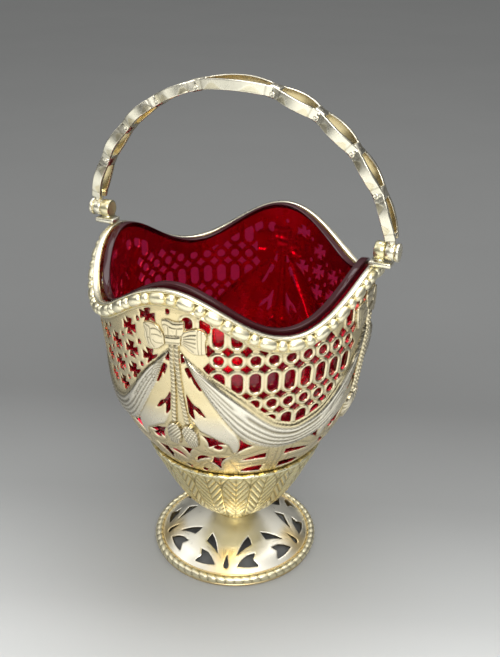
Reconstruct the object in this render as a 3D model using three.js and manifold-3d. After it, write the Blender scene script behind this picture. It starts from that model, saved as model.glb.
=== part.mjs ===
// Sugar basket: a pierced and chased silver-gilt bowl on a domed foot, with a swing handle and a ruby glass liner.
// Millimetres, +Z up. The origin is at the centre of the foot's underside, the hinge axis runs along X,
// and the front bow faces -Y. Azimuths are counted from -Y towards +X.
import * as THREE from 'three';
import { mergeVertices } from 'three/addons/utils/BufferGeometryUtils.js';
import Module from 'manifold-3d';

const wasm = await Module();
wasm.setup();

const degree = Math.PI / 180;
const fullTurn = 2 * Math.PI;
const quarter = fullTurn / 4;
const octant = fullTurn / 8;

// Clearances: the gap between soldered or seated pieces, and how far a punch runs past the sheet
const seatGap = 0.3;
const cutOverrun = 0.8;
const mergeTolerance = 0.0001;
const flatTolerance = 0.03;

// Heights of the whole basket
const rimHeight = 114.8;
const rimWave = 6.9;
const rimFrontLift = 0.5;
const calyxTopHeight = 48.8;
const calyxBottomHeight = 16.7;
const footHeight = 13.3;

// Pierced bowl
const bowlRadius = 47.2;
const bowlWall = 1;
const bowlFloor = 1.2;
const calyxMouthGap = 0.45;

// Rim strip and the border of long and round beads below it
const stripWidth = 1.9;
const stripThickness = 0.65;
const stripOverhang = 1;
const beadPairs = 36;
const beadHeight = 3.7;
const beadDepth = 2.6;
const beadNeckHeight = 2;
const beadNeckDepth = 1.3;
const roundBeadHeight = 3.5;
const roundBeadDepth = 2.5;

// Ring trellis panels, at the front right and the back left
const trellisDrop = 13.8;
const trellisRise = 8;
const trellisColumns = 52;
const ringBore = 3.2;
const ovalHoleWidth = 3.5;
const ovalHoleHeight = 6.9;
const lozengeWidth = 3.6;
const lozengeHeight = 3.8;

// Panels of flared crosses, at the front left and the back right
const crossDrop = 16.8;
const crossRise = 8;
const crossColumns = 36;
const crossSpan = 6.2;
const crossArmEnd = 3.1;
const crossWaist = 1.3;
const panelMargin = 0.4;
const shortOvalHeight = 4;
const shortOvalLift = 5.4;

// Relief of the swags, and how deep what is raised is rooted in the sheet
const swagRelief = 1.5;
const reliefRoot = 0.9;

// Bows, their twin cords and tassels
const bowDrop = 8.3;
const bowKnotWidth = 5.4;
const bowKnotHeight = 4.6;
const bowLoopWidth = 7.9;
const bowLoopHeight = 9.4;
const bowFoldWidth = 6.4;
const bowFoldHeight = 4.2;
const bowRelief = 1.3;
const knotRelief = 1.8;
const cordWidth = 1.7;
const cordGap = -0.4;
const cordSpread = 2.6;
const cordRelief = 0.9;
const tasselWidth = 4.3;
const tasselLength = 8.6;
const tasselRelief = 1.7;

// Leaf calyx, stem collar and foot
const leafCount = 18;
const leafRelief = 0.55;
const leafTipDrop = 1.9;
const calyxWall = 1.4;
const calyxTopRadius = 32;
const collarRadius = 8.4;
const collarNeckRadius = 7.6;
const collarRound = 0.7;
const footRadius = 31;
const footDomeRadius = 27.8;
const footNeckRadius = 7.8;
const footShoulderHeight = 3.4;
const footFlange = 0.8;
const footWall = 1.1;
const footMotifs = 5;
const footMotifAzimuth = 17 * degree;
const ropeRadius = 1.55;
const ropeLobes = 48;

// Ruby glass liner
const linerRimRadius = 44.8;
const linerRimWall = 2.5;
const linerWall = 2;
const linerFloor = 3;
const linerLift = 2.7;
const linerStand = 1;
const linerGap = 0.45;
const linerEdge = 0.9;

// Hinges and swing handle
const hingeInnerReach = 48;
const fixedKnuckleLength = 3.3;
const handleKnuckleLength = 2.8;
const knuckleRadius = 3;
const handleKnuckleRadius = 2.75;
const boreRadius = 1.3;
const pinRadius = 1;
const pinHeadLength = 1.2;
const pinHeadRadius = 3;
const plateLength = 7.2;
const plateWidth = 5;
const plateThickness = 1.6;
const knuckleFootWidth = 4.2;
const archHalfWidth = 54;
const archRise = 53.4;
const archDrop = 5.9;
const archEndAzimuth = 10.8 * degree;
const railHeight = 3;
const railWidth = 1.3;
const railMeeting = 0.9;
const junctionRadius = 2;
const neckWidth = 3.2;
const neckThickness = 2.2;

// Numbers of facets
const knuckleSides = 12;
const footSides = 25;
const collarSides = 20;
const linerSides = 32;
const stripSides = 60;
const roundHoleSides = 6;
const railSteps = 4;
const swagSteps = 8;
const beadStations = 4;

// Heights that follow the wall's two ends: the rim and the top of the calyx
const wallRise = rimHeight - calyxTopHeight;
const onWall = (share) => calyxTopHeight + share * wallRise;
const trellisHeight = rimHeight - trellisDrop;
const crossHeight = rimHeight - crossDrop;
const bowHeight = rimHeight - bowDrop;
const linerBottomHeight = calyxTopHeight + linerLift;
const registerTopShare = 0.2606;
const registerTopHeight = onWall(registerTopShare);
const tasselShare = 0.3288;
const tasselHeight = onWall(tasselShare);

const rimZ = (azimuth) => rimHeight + rimWave * Math.cos(4 * azimuth) + rimFrontLift * Math.cos(2 * azimuth);
const stripBottomZ = (azimuth) => rimZ(azimuth) - stripThickness;
const bowlTopZ = (azimuth) => stripBottomZ(azimuth) - seatGap;
const beadCentreZ = (azimuth) => stripBottomZ(azimuth) - seatGap - beadHeight / 2;

// A smooth curve through [height, radius] points, read off at any height
function profileRadius(points, height) {
  const last = points.length - 1;
  let i = 0;
  while (i < last - 1 && height > points[i + 1][0]) i += 1;
  const slope = (k) => {
    const a = points[Math.max(k - 1, 0)];
    const b = points[Math.min(k + 1, last)];
    return (b[1] - a[1]) / (b[0] - a[0]);
  };
  const [z0, r0] = points[i];
  const [z1, r1] = points[i + 1];
  const span = z1 - z0;
  const t = THREE.MathUtils.clamp((height - z0) / span, 0, 1);
  const u = 1 - t;
  const pull = span * t * u * (slope(i) * u - slope(i + 1) * t);
  return r0 * u * u * (1 + 2 * t) + r1 * t * t * (3 - 2 * t) + pull;
}

// The calyx: heights as shares of its own, radii as shares of its mouth's radius. The bowl above it: heights
// as shares of the wall's rise, radii as shares of the way from the calyx's mouth to the bowl's radius
const calyxProfileShares = [[0, 0.299], [0.07, 0.416], [0.196, 0.547], [0.351, 0.662],
  [0.507, 0.754], [0.663, 0.83], [0.819, 0.907], [1, 1]];
const bowlProfileShares = [[0, 0], [0.078, 0.23], [0.169, 0.452], [0.261, 0.618], [0.352, 0.731],
  [0.472, 0.823], [0.624, 0.906], [0.776, 0.967], [0.957, 0.994], [1.119, 1]];
const calyxRise = calyxTopHeight - calyxBottomHeight;
const calyxProfile = calyxProfileShares.map(([h, r]) => [calyxBottomHeight + h * calyxRise, r * calyxTopRadius]);
const bowlStartRadius = calyxTopRadius - calyxWall - calyxMouthGap;
const bowlSwell = bowlRadius - bowlStartRadius;
const bowlProfile = bowlProfileShares.map(([h, r]) => [onWall(h), bowlStartRadius + r * bowlSwell]);
const calyxRadius = (height) => profileRadius(calyxProfile, height);
const calyxFloorHeight = calyxBottomHeight + calyxWall;
const bowlFloorHeight = calyxFloorHeight + seatGap;
function bowlOuterRadius(height) {
  if (height > calyxTopHeight) return profileRadius(bowlProfile, height);
  return calyxRadius(height) - calyxWall - seatGap;
}

// A point on a round surface, given by azimuth, radius and height
function at(azimuth, radius, height) {
  return new THREE.Vector3(radius * Math.sin(azimuth), -radius * Math.cos(azimuth), height);
}

// A closed body from triangles of points, turned inside out where its faces point inwards
function bodyFromTriangles(points, triangles) {
  const across = new THREE.Vector3();
  const volume = triangles.reduce((sum, [a, b, c]) => {
    across.crossVectors(points[b], points[c]);
    return sum + points[a].dot(across);
  }, 0);
  const facing = volume > 0 ? triangles : triangles.map(([a, b, c]) => [a, c, b]);
  const geometry = new THREE.BufferGeometry();
  const positions = facing.flat().flatMap((i) => points[i].toArray());
  geometry.setAttribute('position', new THREE.Float32BufferAttribute(positions, 3));
  return geometry;
}

// A skin over rings of points: the last ring joins the first, or flat ends close the skin
function skinRings(rings, loops) {
  const count = rings[0].length;
  const points = rings.flat();
  const triangles = [];
  const stretches = loops ? rings.length : rings.length - 1;
  for (let i = 0; i < stretches; i += 1) {
    const a = i * count;
    const b = ((i + 1) % rings.length) * count;
    for (let j = 0; j < count; j += 1) {
      const k = (j + 1) % count;
      triangles.push([a + j, b + j, b + k]);
      triangles.push([a + j, b + k, a + k]);
    }
  }
  if (!loops) {
    const end = (rings.length - 1) * count;
    for (let j = 1; j < count - 1; j += 1) {
      triangles.push([0, j, j + 1]);
      triangles.push([end, end + j + 1, end + j]);
    }
  }
  return bodyFromTriangles(points, triangles);
}

function toSolid(geometry) {
  const bare = geometry.clone();
  bare.deleteAttribute('normal');
  bare.deleteAttribute('uv');
  const merged = mergeVertices(bare, mergeTolerance);
  return new wasm.Manifold(new wasm.Mesh({
    numProp: 3,
    vertProperties: new Float32Array(merged.attributes.position.array),
    triVerts: new Uint32Array(merged.index.array),
  }));
}

// The faces of a finished solid, with corners that lie on a flat face or a straight edge left out
function fromSolid(solid) {
  const mesh = solid.asOriginal().simplify(flatTolerance).getMesh();
  const geometry = new THREE.BufferGeometry();
  geometry.setAttribute('position', new THREE.Float32BufferAttribute(mesh.vertProperties, 3));
  geometry.setIndex(new THREE.Uint32BufferAttribute(mesh.triVerts, 1));
  return geometry.toNonIndexed();
}

const addAll = (solid, geometries) => geometries.reduce((whole, piece) => whole.add(toSolid(piece)), solid);
const cutAll = (solid, punches) => punches.reduce((whole, punch) => whole.subtract(toSolid(punch)), solid);

const basket = new THREE.Group();
const gilt = { color: 0xe3d6ab, roughness: 0.28, metalness: 1 };
const paleGilt = { color: 0xece3c4, roughness: 0.22, metalness: 1 };
const ruby = { color: 0x7a0410, roughness: 0.05, metalness: 0, transparent: true, opacity: 0.75 };

function addPiece(name, geometry, finish) {
  geometry.computeVertexNormals();
  const mesh = new THREE.Mesh(geometry, new THREE.MeshStandardMaterial(finish));
  mesh.name = name;
  basket.add(mesh);
}

// The sheet surfaces that are pierced: each gives the point at an azimuth and a second coordinate,
// which is the height on the bowl and the radius on the foot
const bowlSurface = (azimuth, height) => at(azimuth, bowlOuterRadius(height), height);

// A block that stands square on a sheet: the outline follows corners on the sheet,
// and the block reaches from below the sheet's face to above it
function blockOnSheet(surface, corners, below, above) {
  const count = corners.length;
  const middle = [0, 1].map((i) => corners.reduce((sum, corner) => sum + corner[i], 0) / count);
  const step = below + above;
  const centre = surface(...middle);
  const tangent = new THREE.Vector3(Math.cos(middle[0]), Math.sin(middle[0]), 0);
  const along = surface(middle[0], middle[1] + step).sub(surface(middle[0], middle[1] - step)).normalize();
  const normal = new THREE.Vector3().crossVectors(tangent, along).normalize();
  const outwards = at(middle[0], 1, 1);
  if (normal.dot(outwards) < 0) normal.negate();
  const side = new THREE.Vector3().crossVectors(along, normal).normalize();
  const outline = corners.map((corner) => {
    const offset = surface(...corner).sub(centre);
    return new THREE.Vector2(offset.dot(side), offset.dot(along));
  });
  const block = new THREE.ExtrudeGeometry(new THREE.Shape(outline), { depth: step, bevelEnabled: false });
  block.translate(0, 0, -below);
  block.applyMatrix4(new THREE.Matrix4().makeBasis(side, along, normal).setPosition(centre));
  return block;
}

const bowlPunch = (corners) => blockOnSheet(bowlSurface, corners, bowlWall + cutOverrun, cutOverrun);
const bowlBoss = (corners, relief) => blockOnSheet(bowlSurface, corners, reliefRoot, relief);

// Corners of a small figure on the bowl, from offsets around its centre
function figureAt(azimuth, height, offsets) {
  const radius = bowlOuterRadius(height);
  return offsets.map(([across, up]) => [azimuth + across / radius, height + up]);
}

// Offsets of a round hole, or of a long one with round ends
function roundFigure(width, height) {
  const straight = (height - width) / 2;
  const offsets = [];
  for (let i = 0; i < roundHoleSides; i += 1) {
    const angle = ((i + 0.5) / roundHoleSides) * fullTurn;
    const lift = Math.sign(Math.round(Math.sin(angle) * roundHoleSides)) * straight;
    offsets.push([(width / 2) * Math.cos(angle), lift + (width / 2) * Math.sin(angle)]);
  }
  return offsets;
}

// Offsets of a cross whose four arms flare from a narrow waist
function crossFigure() {
  const reach = crossSpan / 2;
  const flare = crossArmEnd / 2;
  const waist = crossWaist / 2;
  const arm = [[waist, waist], [flare, reach], [-flare, reach]];
  const offsets = [];
  for (let i = 0; i < 4; i += 1) {
    for (const [x, y] of arm) {
      const turned = new THREE.Vector2(x, y).rotateAround(new THREE.Vector2(), i * quarter);
      offsets.push([turned.x, turned.y]);
    }
  }
  return offsets;
}

// A place's share of the way from the middle of its swag (0) to the bow (1)
function fromSwagMiddle(azimuth) {
  const turned = THREE.MathUtils.euclideanModulo(azimuth, quarter);
  return Math.abs(turned - octant) / octant;
}

// The edges of a swag, as shares of the wall's rise: at its middle, and what they rise towards the bows
const swagUpperShares = { middle: 0.403, rise: 0.4576 };
const swagLowerShares = { middle: 0.2455, rise: 0.4182, sweep: 0.3152 };
const swagUpperZ = (share) => onWall(swagUpperShares.middle + swagUpperShares.rise * share ** 1.6);
function swagLowerZ(share) {
  const { middle, rise, sweep } = swagLowerShares;
  return onWall(middle + rise * share ** 2 + sweep * share ** 6);
}

// The trellis and the crosses fill the wall between the rim's beads and the swag
const borderDrop = stripThickness + 2 * seatGap + beadHeight;
const beadsBottomZ = (azimuth) => rimZ(azimuth) - borderDrop;
const panelBottomZ = (azimuth) => swagUpperZ(fromSwagMiddle(azimuth)) + panelMargin;

// True in line with a bow, whose loops are as wide as this
function inLineWithBow(azimuth) {
  const across = (1 - fromSwagMiddle(azimuth)) * octant * bowlRadius;
  return across < bowKnotWidth / 2 + bowLoopWidth;
}
const bowTopZ = bowHeight + bowLoopHeight / 2 + panelMargin;
const underBow = (azimuth, height) => inLineWithBow(azimuth) && Math.abs(height - bowHeight) < bowLoopHeight / 2;
const overBow = (azimuth, height) => inLineWithBow(azimuth) && height > bowTopZ;

// A figure cut off level where it would run into the swag or past the top, or nothing if too little is left
function trimmed(corners, topZ, leastShare) {
  const azimuth = corners.reduce((sum, corner) => sum + corner[0], 0) / corners.length;
  const heights = corners.map((corner) => corner[1]);
  const low = Math.min(...heights);
  const high = Math.max(...heights);
  const middle = (low + high) / 2;
  const bottom = Math.max(low, panelBottomZ(azimuth), overBow(azimuth, middle) ? bowTopZ : low);
  const top = Math.min(high, topZ(azimuth));
  if (top - bottom < leastShare * (high - low) || underBow(azimuth, middle)) return [];
  const level = corners.map(([a, z]) => [a, THREE.MathUtils.clamp(z, bottom, top)]);
  const count = level.length;
  const kept = level.filter((corner, i) => {
    const before = level[(i + count - 1) % count];
    const after = level[(i + 1) % count];
    return before[1] !== corner[1] || after[1] !== corner[1];
  });
  return [kept];
}

const ovalKeptShare = 0.5;
const lozengeKeptShare = 0.9;
function trellisHoles(middle) {
  const pitch = fullTurn / trellisColumns;
  const circle = roundFigure(ringBore, ringBore);
  const oval = roundFigure(ovalHoleWidth, ovalHoleHeight);
  const shortOval = roundFigure(ringBore, shortOvalHeight);
  const lozenge = [[lozengeWidth / 2, 0], [0, lozengeHeight / 2], [-lozengeWidth / 2, 0], [0, -lozengeHeight / 2]];
  const towardsCircle = (ovalHoleHeight - ringBore) / 4;
  const topZ = (azimuth) => beadsBottomZ(azimuth) - panelMargin;
  const holes = [];
  const addRow = (height, figure, firstColumn, keptShare) => {
    for (let column = firstColumn; column <= -firstColumn; column += 1) {
      const azimuth = middle + column * pitch;
      holes.push(...trimmed(figureAt(azimuth, height, figure), topZ, keptShare));
    }
  };
  const rowZ = (row) => trellisHeight + row * trellisRise;
  for (const row of [1, -1, -3]) addRow(rowZ(row), oval, -4, ovalKeptShare);
  for (const row of [0, -2]) addRow(rowZ(row), circle, -4, lozengeKeptShare);
  for (const row of [0.5, -1.5]) addRow(rowZ(row) - towardsCircle, lozenge, -4.5, lozengeKeptShare);
  for (const row of [-0.5, -2.5]) addRow(rowZ(row) + towardsCircle, lozenge, -4.5, lozengeKeptShare);
  for (const column of [-5.65, -4.85, 4.85, 5.65]) {
    holes.push(figureAt(middle + column * pitch, bowHeight + shortOvalLift, shortOval));
  }
  return holes;
}

function crossHoles(middle) {
  const pitch = fullTurn / crossColumns;
  const cross = crossFigure();
  const holes = [];
  for (const row of [2, 1, 0, -1, -2]) {
    const height = crossHeight + row * crossRise;
    for (let column = -3.5; column <= 3.5; column += 1) {
      const azimuth = middle + column * pitch;
      const clearOfBeads = height < beadsBottomZ(azimuth) - crossArmEnd / 2;
      if (clearOfBeads) holes.push(...trimmed(figureAt(azimuth, height, cross), bowlTopZ, ovalKeptShare));
    }
  }
  return holes;
}

// Holes of the scroll and leaf register below the swags, and the slits beside the cords. Places run from
// the bow (0) to the swag's middle (1) and from the calyx (0) to the register's top (1), and are mirrored
const registerShares = [
  [[0.2, 1.29], [0.26, 0.99], [0.46, 1.15]],
  [[0.56, 1.3], [0.55, 0.86], [0.73, 1.05]],
  [[0.33, 0.68], [0.27, 0.48], [0.36, 0.3], [0.46, 0.7]],
  [[0.09, 0.46], [0.17, 0.7], [0.27, 0.66], [0.17, 0.6]],
  [[0.1, 0.13], [0.14, 0.24], [0.2, 0.18], [0.16, 0.09]],
  [[0.6, 0.6], [0.89, 0.63], [0.89, 0.76]],
  [[0.62, 0.18], [0.87, 0.13], [0.89, 0.36]],
];
const slitShares = [
  [[0.05, 3.13], [0.05, 2.84], [0.1, 2.91]],
  [[0.11, 2.77], [0.125, 2.54], [0.22, 2.31], [0.15, 2.7]],
  [[0.08, 2.25], [0.145, 1.68], [0.15, 1.92], [0.245, 1.77]],
];
const underTasselShares = [[-0.07, 0.86], [0, 0.62], [0.07, 0.86]];

function registerHoles() {
  const rise = registerTopHeight - calyxTopHeight;
  const holes = [];
  for (let i = 0; i < 4; i += 1) {
    const place = (side) => ([share, up]) => [i * quarter + side * share * octant, calyxTopHeight + up * rise];
    for (const outline of [...registerShares, ...slitShares]) {
      holes.push(outline.map(place(1)));
      holes.push(outline.map(place(-1)));
    }
    holes.push(underTasselShares.map(place(1)));
  }
  return holes;
}

// The bowl's plain sheet. Its columns follow the pitch of the trellis and of the crosses, and its rows
// run between the figures, so that a facet holds whole holes
function bowlColumns() {
  const crosses = crossColumns / 4;
  const rings = trellisColumns / 4;
  const crossSteps = Array.from({ length: crosses }, (_, i) => i / crosses);
  const ringSteps = [0, 2, 4, 6, 7, 9, 11].map((step) => step / rings);
  return [0, 1, 2, 3].flatMap((i) => {
    const steps = i % 2 === 0 ? ringSteps : crossSteps;
    return steps.map((step) => (i + step) * quarter);
  });
}
const calyxRowShares = [0.2, 0.55];
const bowlRowShares = [0, 0.39, 0.78, 1.35];
const sheetStartHeight = calyxTopHeight + seatGap;
const trellisRowHeight = trellisHeight - 0.59 * trellisRise;
const crossRowHeight = crossHeight - 0.5 * crossRise;
function upperRowZ(azimuth) {
  const panel = Math.floor(azimuth / quarter);
  return panel % 2 === 0 ? trellisRowHeight : crossRowHeight;
}

function bowlSheet() {
  const columns = bowlColumns();
  const hidden = [0, ...calyxRowShares].map((s) => bowlFloorHeight + s * (calyxTopHeight - bowlFloorHeight));
  const shown = bowlRowShares.map((s) => sheetStartHeight + s * (registerTopHeight - sheetStartHeight));
  const row = (heightAt, inset) => columns.map((azimuth) => {
    const height = heightAt(azimuth);
    return at(azimuth, bowlOuterRadius(height) - inset, height);
  });
  const heights = [...[...hidden, ...shown].map((height) => () => height), upperRowZ, () => rimZ(0)];
  const outer = heights.map((heightAt) => row(heightAt, 0));
  const inner = heights.slice(1).map((heightAt) => row(heightAt, bowlWall));
  inner.unshift(row(() => bowlFloorHeight + bowlFloor, bowlWall));
  return skinRings([...outer, ...inner.reverse()], false);
}

// A swag between two bows: a band that bellies out from the sheet
const swagReachShare = 0.86;
const swagSectionShares = [[0, 0], [0.2, 1], [0.7, 0.9], [1, 0]];
function swag(middle) {
  const rings = [];
  for (let i = 0; i <= swagSteps; i += 1) {
    const share = ((2 * i) / swagSteps - 1) * swagReachShare;
    const azimuth = middle + share * octant;
    const low = swagLowerZ(Math.abs(share));
    const high = swagUpperZ(Math.abs(share));
    const section = swagSectionShares.map(([up, out]) => {
      const height = low + up * (high - low);
      const lift = out > 0 ? out * swagRelief : -reliefRoot;
      return at(azimuth, bowlOuterRadius(height) + lift, height);
    });
    rings.push(section);
  }
  return skinRings(rings, false);
}

// A bow with its two loops and its fold, and the twin cords that end in tassels
const loopOutlineShares = [[0, -0.2], [0.7, -0.5], [1, -0.3], [0.9, 0.5], [0, 0.2]];
const foldOutlineShares = [[-0.42, 0], [0.42, 0], [0.5, 0.9], [-0.5, 1]];
const tasselOutlineShares = [[-0.3, 0.5], [-0.5, 0], [-0.3, -0.42], [0.3, -0.42], [0.5, 0], [0.3, 0.5]];
function bowAndTassels(azimuth) {
  const placed = (offsets) => figureAt(azimuth, bowHeight, offsets);
  const pieces = [];
  const halfKnot = bowKnotWidth / 2;
  for (const side of [1, -1]) {
    const loop = loopOutlineShares.map(([x, y]) => [side * (halfKnot + x * bowLoopWidth), y * bowLoopHeight]);
    pieces.push(bowlBoss(placed(loop), bowRelief));
    const top = side * (cordGap + cordWidth) / 2;
    const bottom = side * cordSpread;
    const drop = tasselHeight + tasselLength / 2 - bowHeight;
    const half = cordWidth / 2;
    const cord = [[top - half, 0], [bottom - half, drop], [bottom + half, drop], [top + half, 0]];
    pieces.push(bowlBoss(placed(cord), cordRelief));
    const tassel = tasselOutlineShares.map(([x, y]) => [bottom + x * tasselWidth, y * tasselLength]);
    pieces.push(bowlBoss(figureAt(azimuth, tasselHeight, tassel), tasselRelief));
  }
  const fold = foldOutlineShares.map(([x, y]) => [x * bowFoldWidth, bowKnotHeight / 2 + y * bowFoldHeight]);
  pieces.push(bowlBoss(placed(fold), bowRelief));
  const halfHeight = bowKnotHeight / 2;
  const knot = [[-halfKnot, -halfHeight], [halfKnot, -halfHeight], [halfKnot, halfHeight], [-halfKnot, halfHeight]];
  pieces.push(bowlBoss(placed(knot), knotRelief));
  return pieces;
}

// A band that follows the rim's wave: section points are [radius, height above the reference line]
function wavyRing(azimuths, referenceZ, sectionAt) {
  const rings = azimuths.map((azimuth, i) => {
    const base = referenceZ(azimuth);
    return sectionAt(i).map(([radius, up]) => at(azimuth, radius, base + up));
  });
  return skinRings(rings, true);
}

const evenAzimuths = (count) => Array.from({ length: count }, (_, i) => (i / count) * fullTurn);

// Everything above the wave of the bowl's upper edge
function aboveRim() {
  const inner = bowlRadius - 2 * bowlWall - cutOverrun;
  const outer = bowlRadius + cutOverrun;
  const top = 3 * rimWave;
  return wavyRing(evenAzimuths(stripSides), bowlTopZ, () => [[inner, 0], [outer, 0], [outer, top], [inner, top]]);
}

function bowlShell() {
  const relief = [];
  for (let i = 0; i < 4; i += 1) {
    relief.push(swag(octant + i * quarter));
    relief.push(...bowAndTassels(i * quarter));
  }
  const holes = [
    ...trellisHoles(octant),
    ...trellisHoles(octant + 2 * quarter),
    ...crossHoles(octant + quarter),
    ...crossHoles(octant + 3 * quarter),
    ...registerHoles(),
  ];
  const whole = addAll(toSolid(bowlSheet()), relief);
  return fromSolid(cutAll(whole, [aboveRim(), ...holes.map(bowlPunch)]));
}

function rimStrip() {
  const outer = bowlRadius + stripOverhang;
  const inner = outer - stripWidth;
  const section = [[inner, -stripThickness], [inner, 0], [outer, 0], [outer, -stripThickness]];
  return wavyRing(evenAzimuths(stripSides), rimZ, () => section);
}

// Azimuths at even steps along the wavy rim, so that beads keep their length on the slopes
function evenAlongRim(count, offset) {
  const samples = 720;
  const lengths = [0];
  for (let i = 1; i <= samples; i += 1) {
    const a = ((i - 1) / samples) * fullTurn;
    const b = (i / samples) * fullTurn;
    lengths.push(lengths[i - 1] + at(a, bowlRadius, rimZ(a)).distanceTo(at(b, bowlRadius, rimZ(b))));
  }
  const whole = lengths[samples];
  const azimuths = [];
  let k = 0;
  for (let i = 0; i < count; i += 1) {
    const target = ((i + offset(i)) / count) * whole;
    while (lengths[k + 1] < target) k += 1;
    azimuths.push(((k + (target - lengths[k]) / (lengths[k + 1] - lengths[k])) / samples) * fullTurn);
  }
  return azimuths;
}

// Along one pair: the round bead, a waist, the middle of the long bead, and a waist
const beadStationShares = [0, 0.24, 0.5, 0.76];
const beadSectionShares = [[0, -0.5], [0, 0.5], [1, 0.22], [1, -0.22]];
function beadBorder() {
  const azimuths = evenAlongRim(beadPairs * beadStations, (i) => {
    const station = i % beadStations;
    return beadStationShares[station] * beadStations - station;
  });
  const back = bowlRadius + seatGap;
  return wavyRing(azimuths, beadCentreZ, (i) => {
    const station = i % beadStations;
    const sizes = [
      [roundBeadDepth, roundBeadHeight],
      [beadNeckDepth, beadNeckHeight],
      [beadDepth, beadHeight],
      [beadNeckDepth, beadNeckHeight],
    ];
    const [depth, height] = sizes[station];
    return beadSectionShares.map(([out, up]) => [back + out * depth, up * height]);
  });
}

// The calyx: overlapping leaves with a raised midrib and a round tip, on a cup with a flat floor
function leafCalyx() {
  const columns = evenAzimuths(leafCount * 2).map((azimuth) => azimuth + octant);
  const onRib = (i) => i % 2 === 0;
  const span = calyxTopHeight - bowlFloorHeight;
  const rowHeights = [...calyxRowShares.map((share) => bowlFloorHeight + share * span)];
  const leafLift = (i) => (onRib(i) ? leafRelief : 0);
  const outerRow = (height) => columns.map((azimuth, i) => at(azimuth, calyxRadius(height) + leafLift(i), height));
  const tipRow = columns.map((azimuth, i) => {
    const height = onRib(i) ? calyxTopHeight : calyxTopHeight - leafTipDrop;
    return at(azimuth, calyxRadius(height) + leafLift(i), height);
  });
  const innerRow = (height) => columns.map((azimuth) => at(azimuth, calyxRadius(height) - calyxWall, height));
  const innerTop = columns.map((azimuth, i) => {
    const height = onRib(i) ? calyxTopHeight : calyxTopHeight - leafTipDrop;
    return at(azimuth, calyxRadius(height) - calyxWall, height);
  });
  const bottom = columns.map((azimuth) => at(azimuth, calyxRadius(calyxBottomHeight), calyxBottomHeight));
  const nearFloor = columns.map((azimuth) => at(azimuth, calyxRadius(bowlFloorHeight), bowlFloorHeight));
  const rings = [
    bottom,
    nearFloor,
    ...rowHeights.map(outerRow),
    tipRow,
    innerTop,
    ...rowHeights.map(innerRow).reverse(),
    innerRow(calyxFloorHeight),
  ];
  return skinRings(rings, false);
}

function lathe(profile, sides) {
  const geometry = new THREE.LatheGeometry(profile.map(([r, z]) => new THREE.Vector2(r, z)), sides);
  geometry.rotateX(quarter);
  return geometry;
}

function stemCollar() {
  const bottom = footHeight + seatGap;
  const top = calyxBottomHeight - seatGap;
  return lathe([
    [0, bottom],
    [collarNeckRadius, bottom],
    [collarRadius, bottom + collarRound],
    [collarRadius, top - collarRound],
    [collarNeckRadius, top],
    [0, top],
  ], collarSides);
}

// The foot: a flat flange, a low shoulder inside the rope border, and a dome that sweeps up to the neck.
// Radii of the sweep are shares of the way from the neck to the dome's edge, heights shares of its rise
const footSweepShares = [[1, 0], [0.82, 0.3], [0.58, 0.54], [0.33, 0.73], [0, 1]];
const footSpan = footDomeRadius - footNeckRadius;
const footRise = footHeight - footShoulderHeight;
const footSweep = footSweepShares.map(([r, z]) => [footNeckRadius + r * footSpan, footShoulderHeight + z * footRise]);
function footZ(radius) {
  const rising = footSweep.map(([r, z]) => [r, z]).reverse();
  return profileRadius(rising, radius);
}
const footSurface = (azimuth, radius) => at(azimuth, radius, footZ(radius));

// Holes of one palmette: a teardrop in the middle, and darts on both sides in an inner and an outer row.
// Azimuths are shares of half a motif, radii shares of the foot's sweep from neck to edge
const palmetteShares = [
  [[0, 0.66], [0.1, 0.88], [-0.1, 0.88]],
];
const dartShares = [
  [[0.74, 0.38], [0.74, 0.55], [0.26, 0.72], [0.37, 0.54]],
  [[0.76, 0.71], [0.72, 0.92], [0.24, 0.9], [0.58, 0.82]],
];
function footHoles() {
  const half = fullTurn / (2 * footMotifs);
  const holes = [];
  for (let i = 0; i < footMotifs; i += 1) {
    const middle = footMotifAzimuth + i * 2 * half;
    const place = (side) => ([share, out]) => [middle + side * share * half, footNeckRadius + out * footSpan];
    for (const outline of palmetteShares) holes.push(outline.map(place(1)));
    for (const outline of dartShares) {
      holes.push(outline.map(place(1)));
      holes.push(outline.map(place(-1)));
    }
  }
  return holes;
}

function footShell() {
  const outer = footSweep;
  const inner = [...footSweep].reverse().map(([r, z]) => [r, z - footWall]);
  inner[0] = [footNeckRadius - footWall, footHeight];
  const profile = [
    [footRadius, 0],
    [footRadius, footFlange],
    [footDomeRadius, footFlange],
    ...outer,
    ...inner.slice(0, -1),
    [footDomeRadius - footWall, footShoulderHeight - footWall],
    [footDomeRadius - footWall, 0],
    [footRadius, 0],
  ];
  const punches = footHoles().map((corners) => blockOnSheet(footSurface, corners, 2 * footWall, cutOverrun));
  const plain = lathe(profile, footSides);
  plain.rotateZ(footMotifAzimuth);
  return fromSolid(cutAll(toSolid(plain), punches));
}

// A rope border on the foot's flange: a square strand that twists a quarter turn for each lobe
function ropeBorder() {
  const centre = footDomeRadius + seatGap + ropeRadius;
  const height = footFlange + seatGap + ropeRadius;
  const stations = evenAzimuths(ropeLobes * 2);
  const rings = stations.map((azimuth, i) => {
    const section = [];
    for (let j = 0; j < 4; j += 1) {
      const turn = (j + i / 2) * quarter;
      section.push(at(azimuth, centre + ropeRadius * Math.cos(turn), height + ropeRadius * Math.sin(turn)));
    }
    return section;
  });
  return skinRings(rings, true);
}

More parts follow.
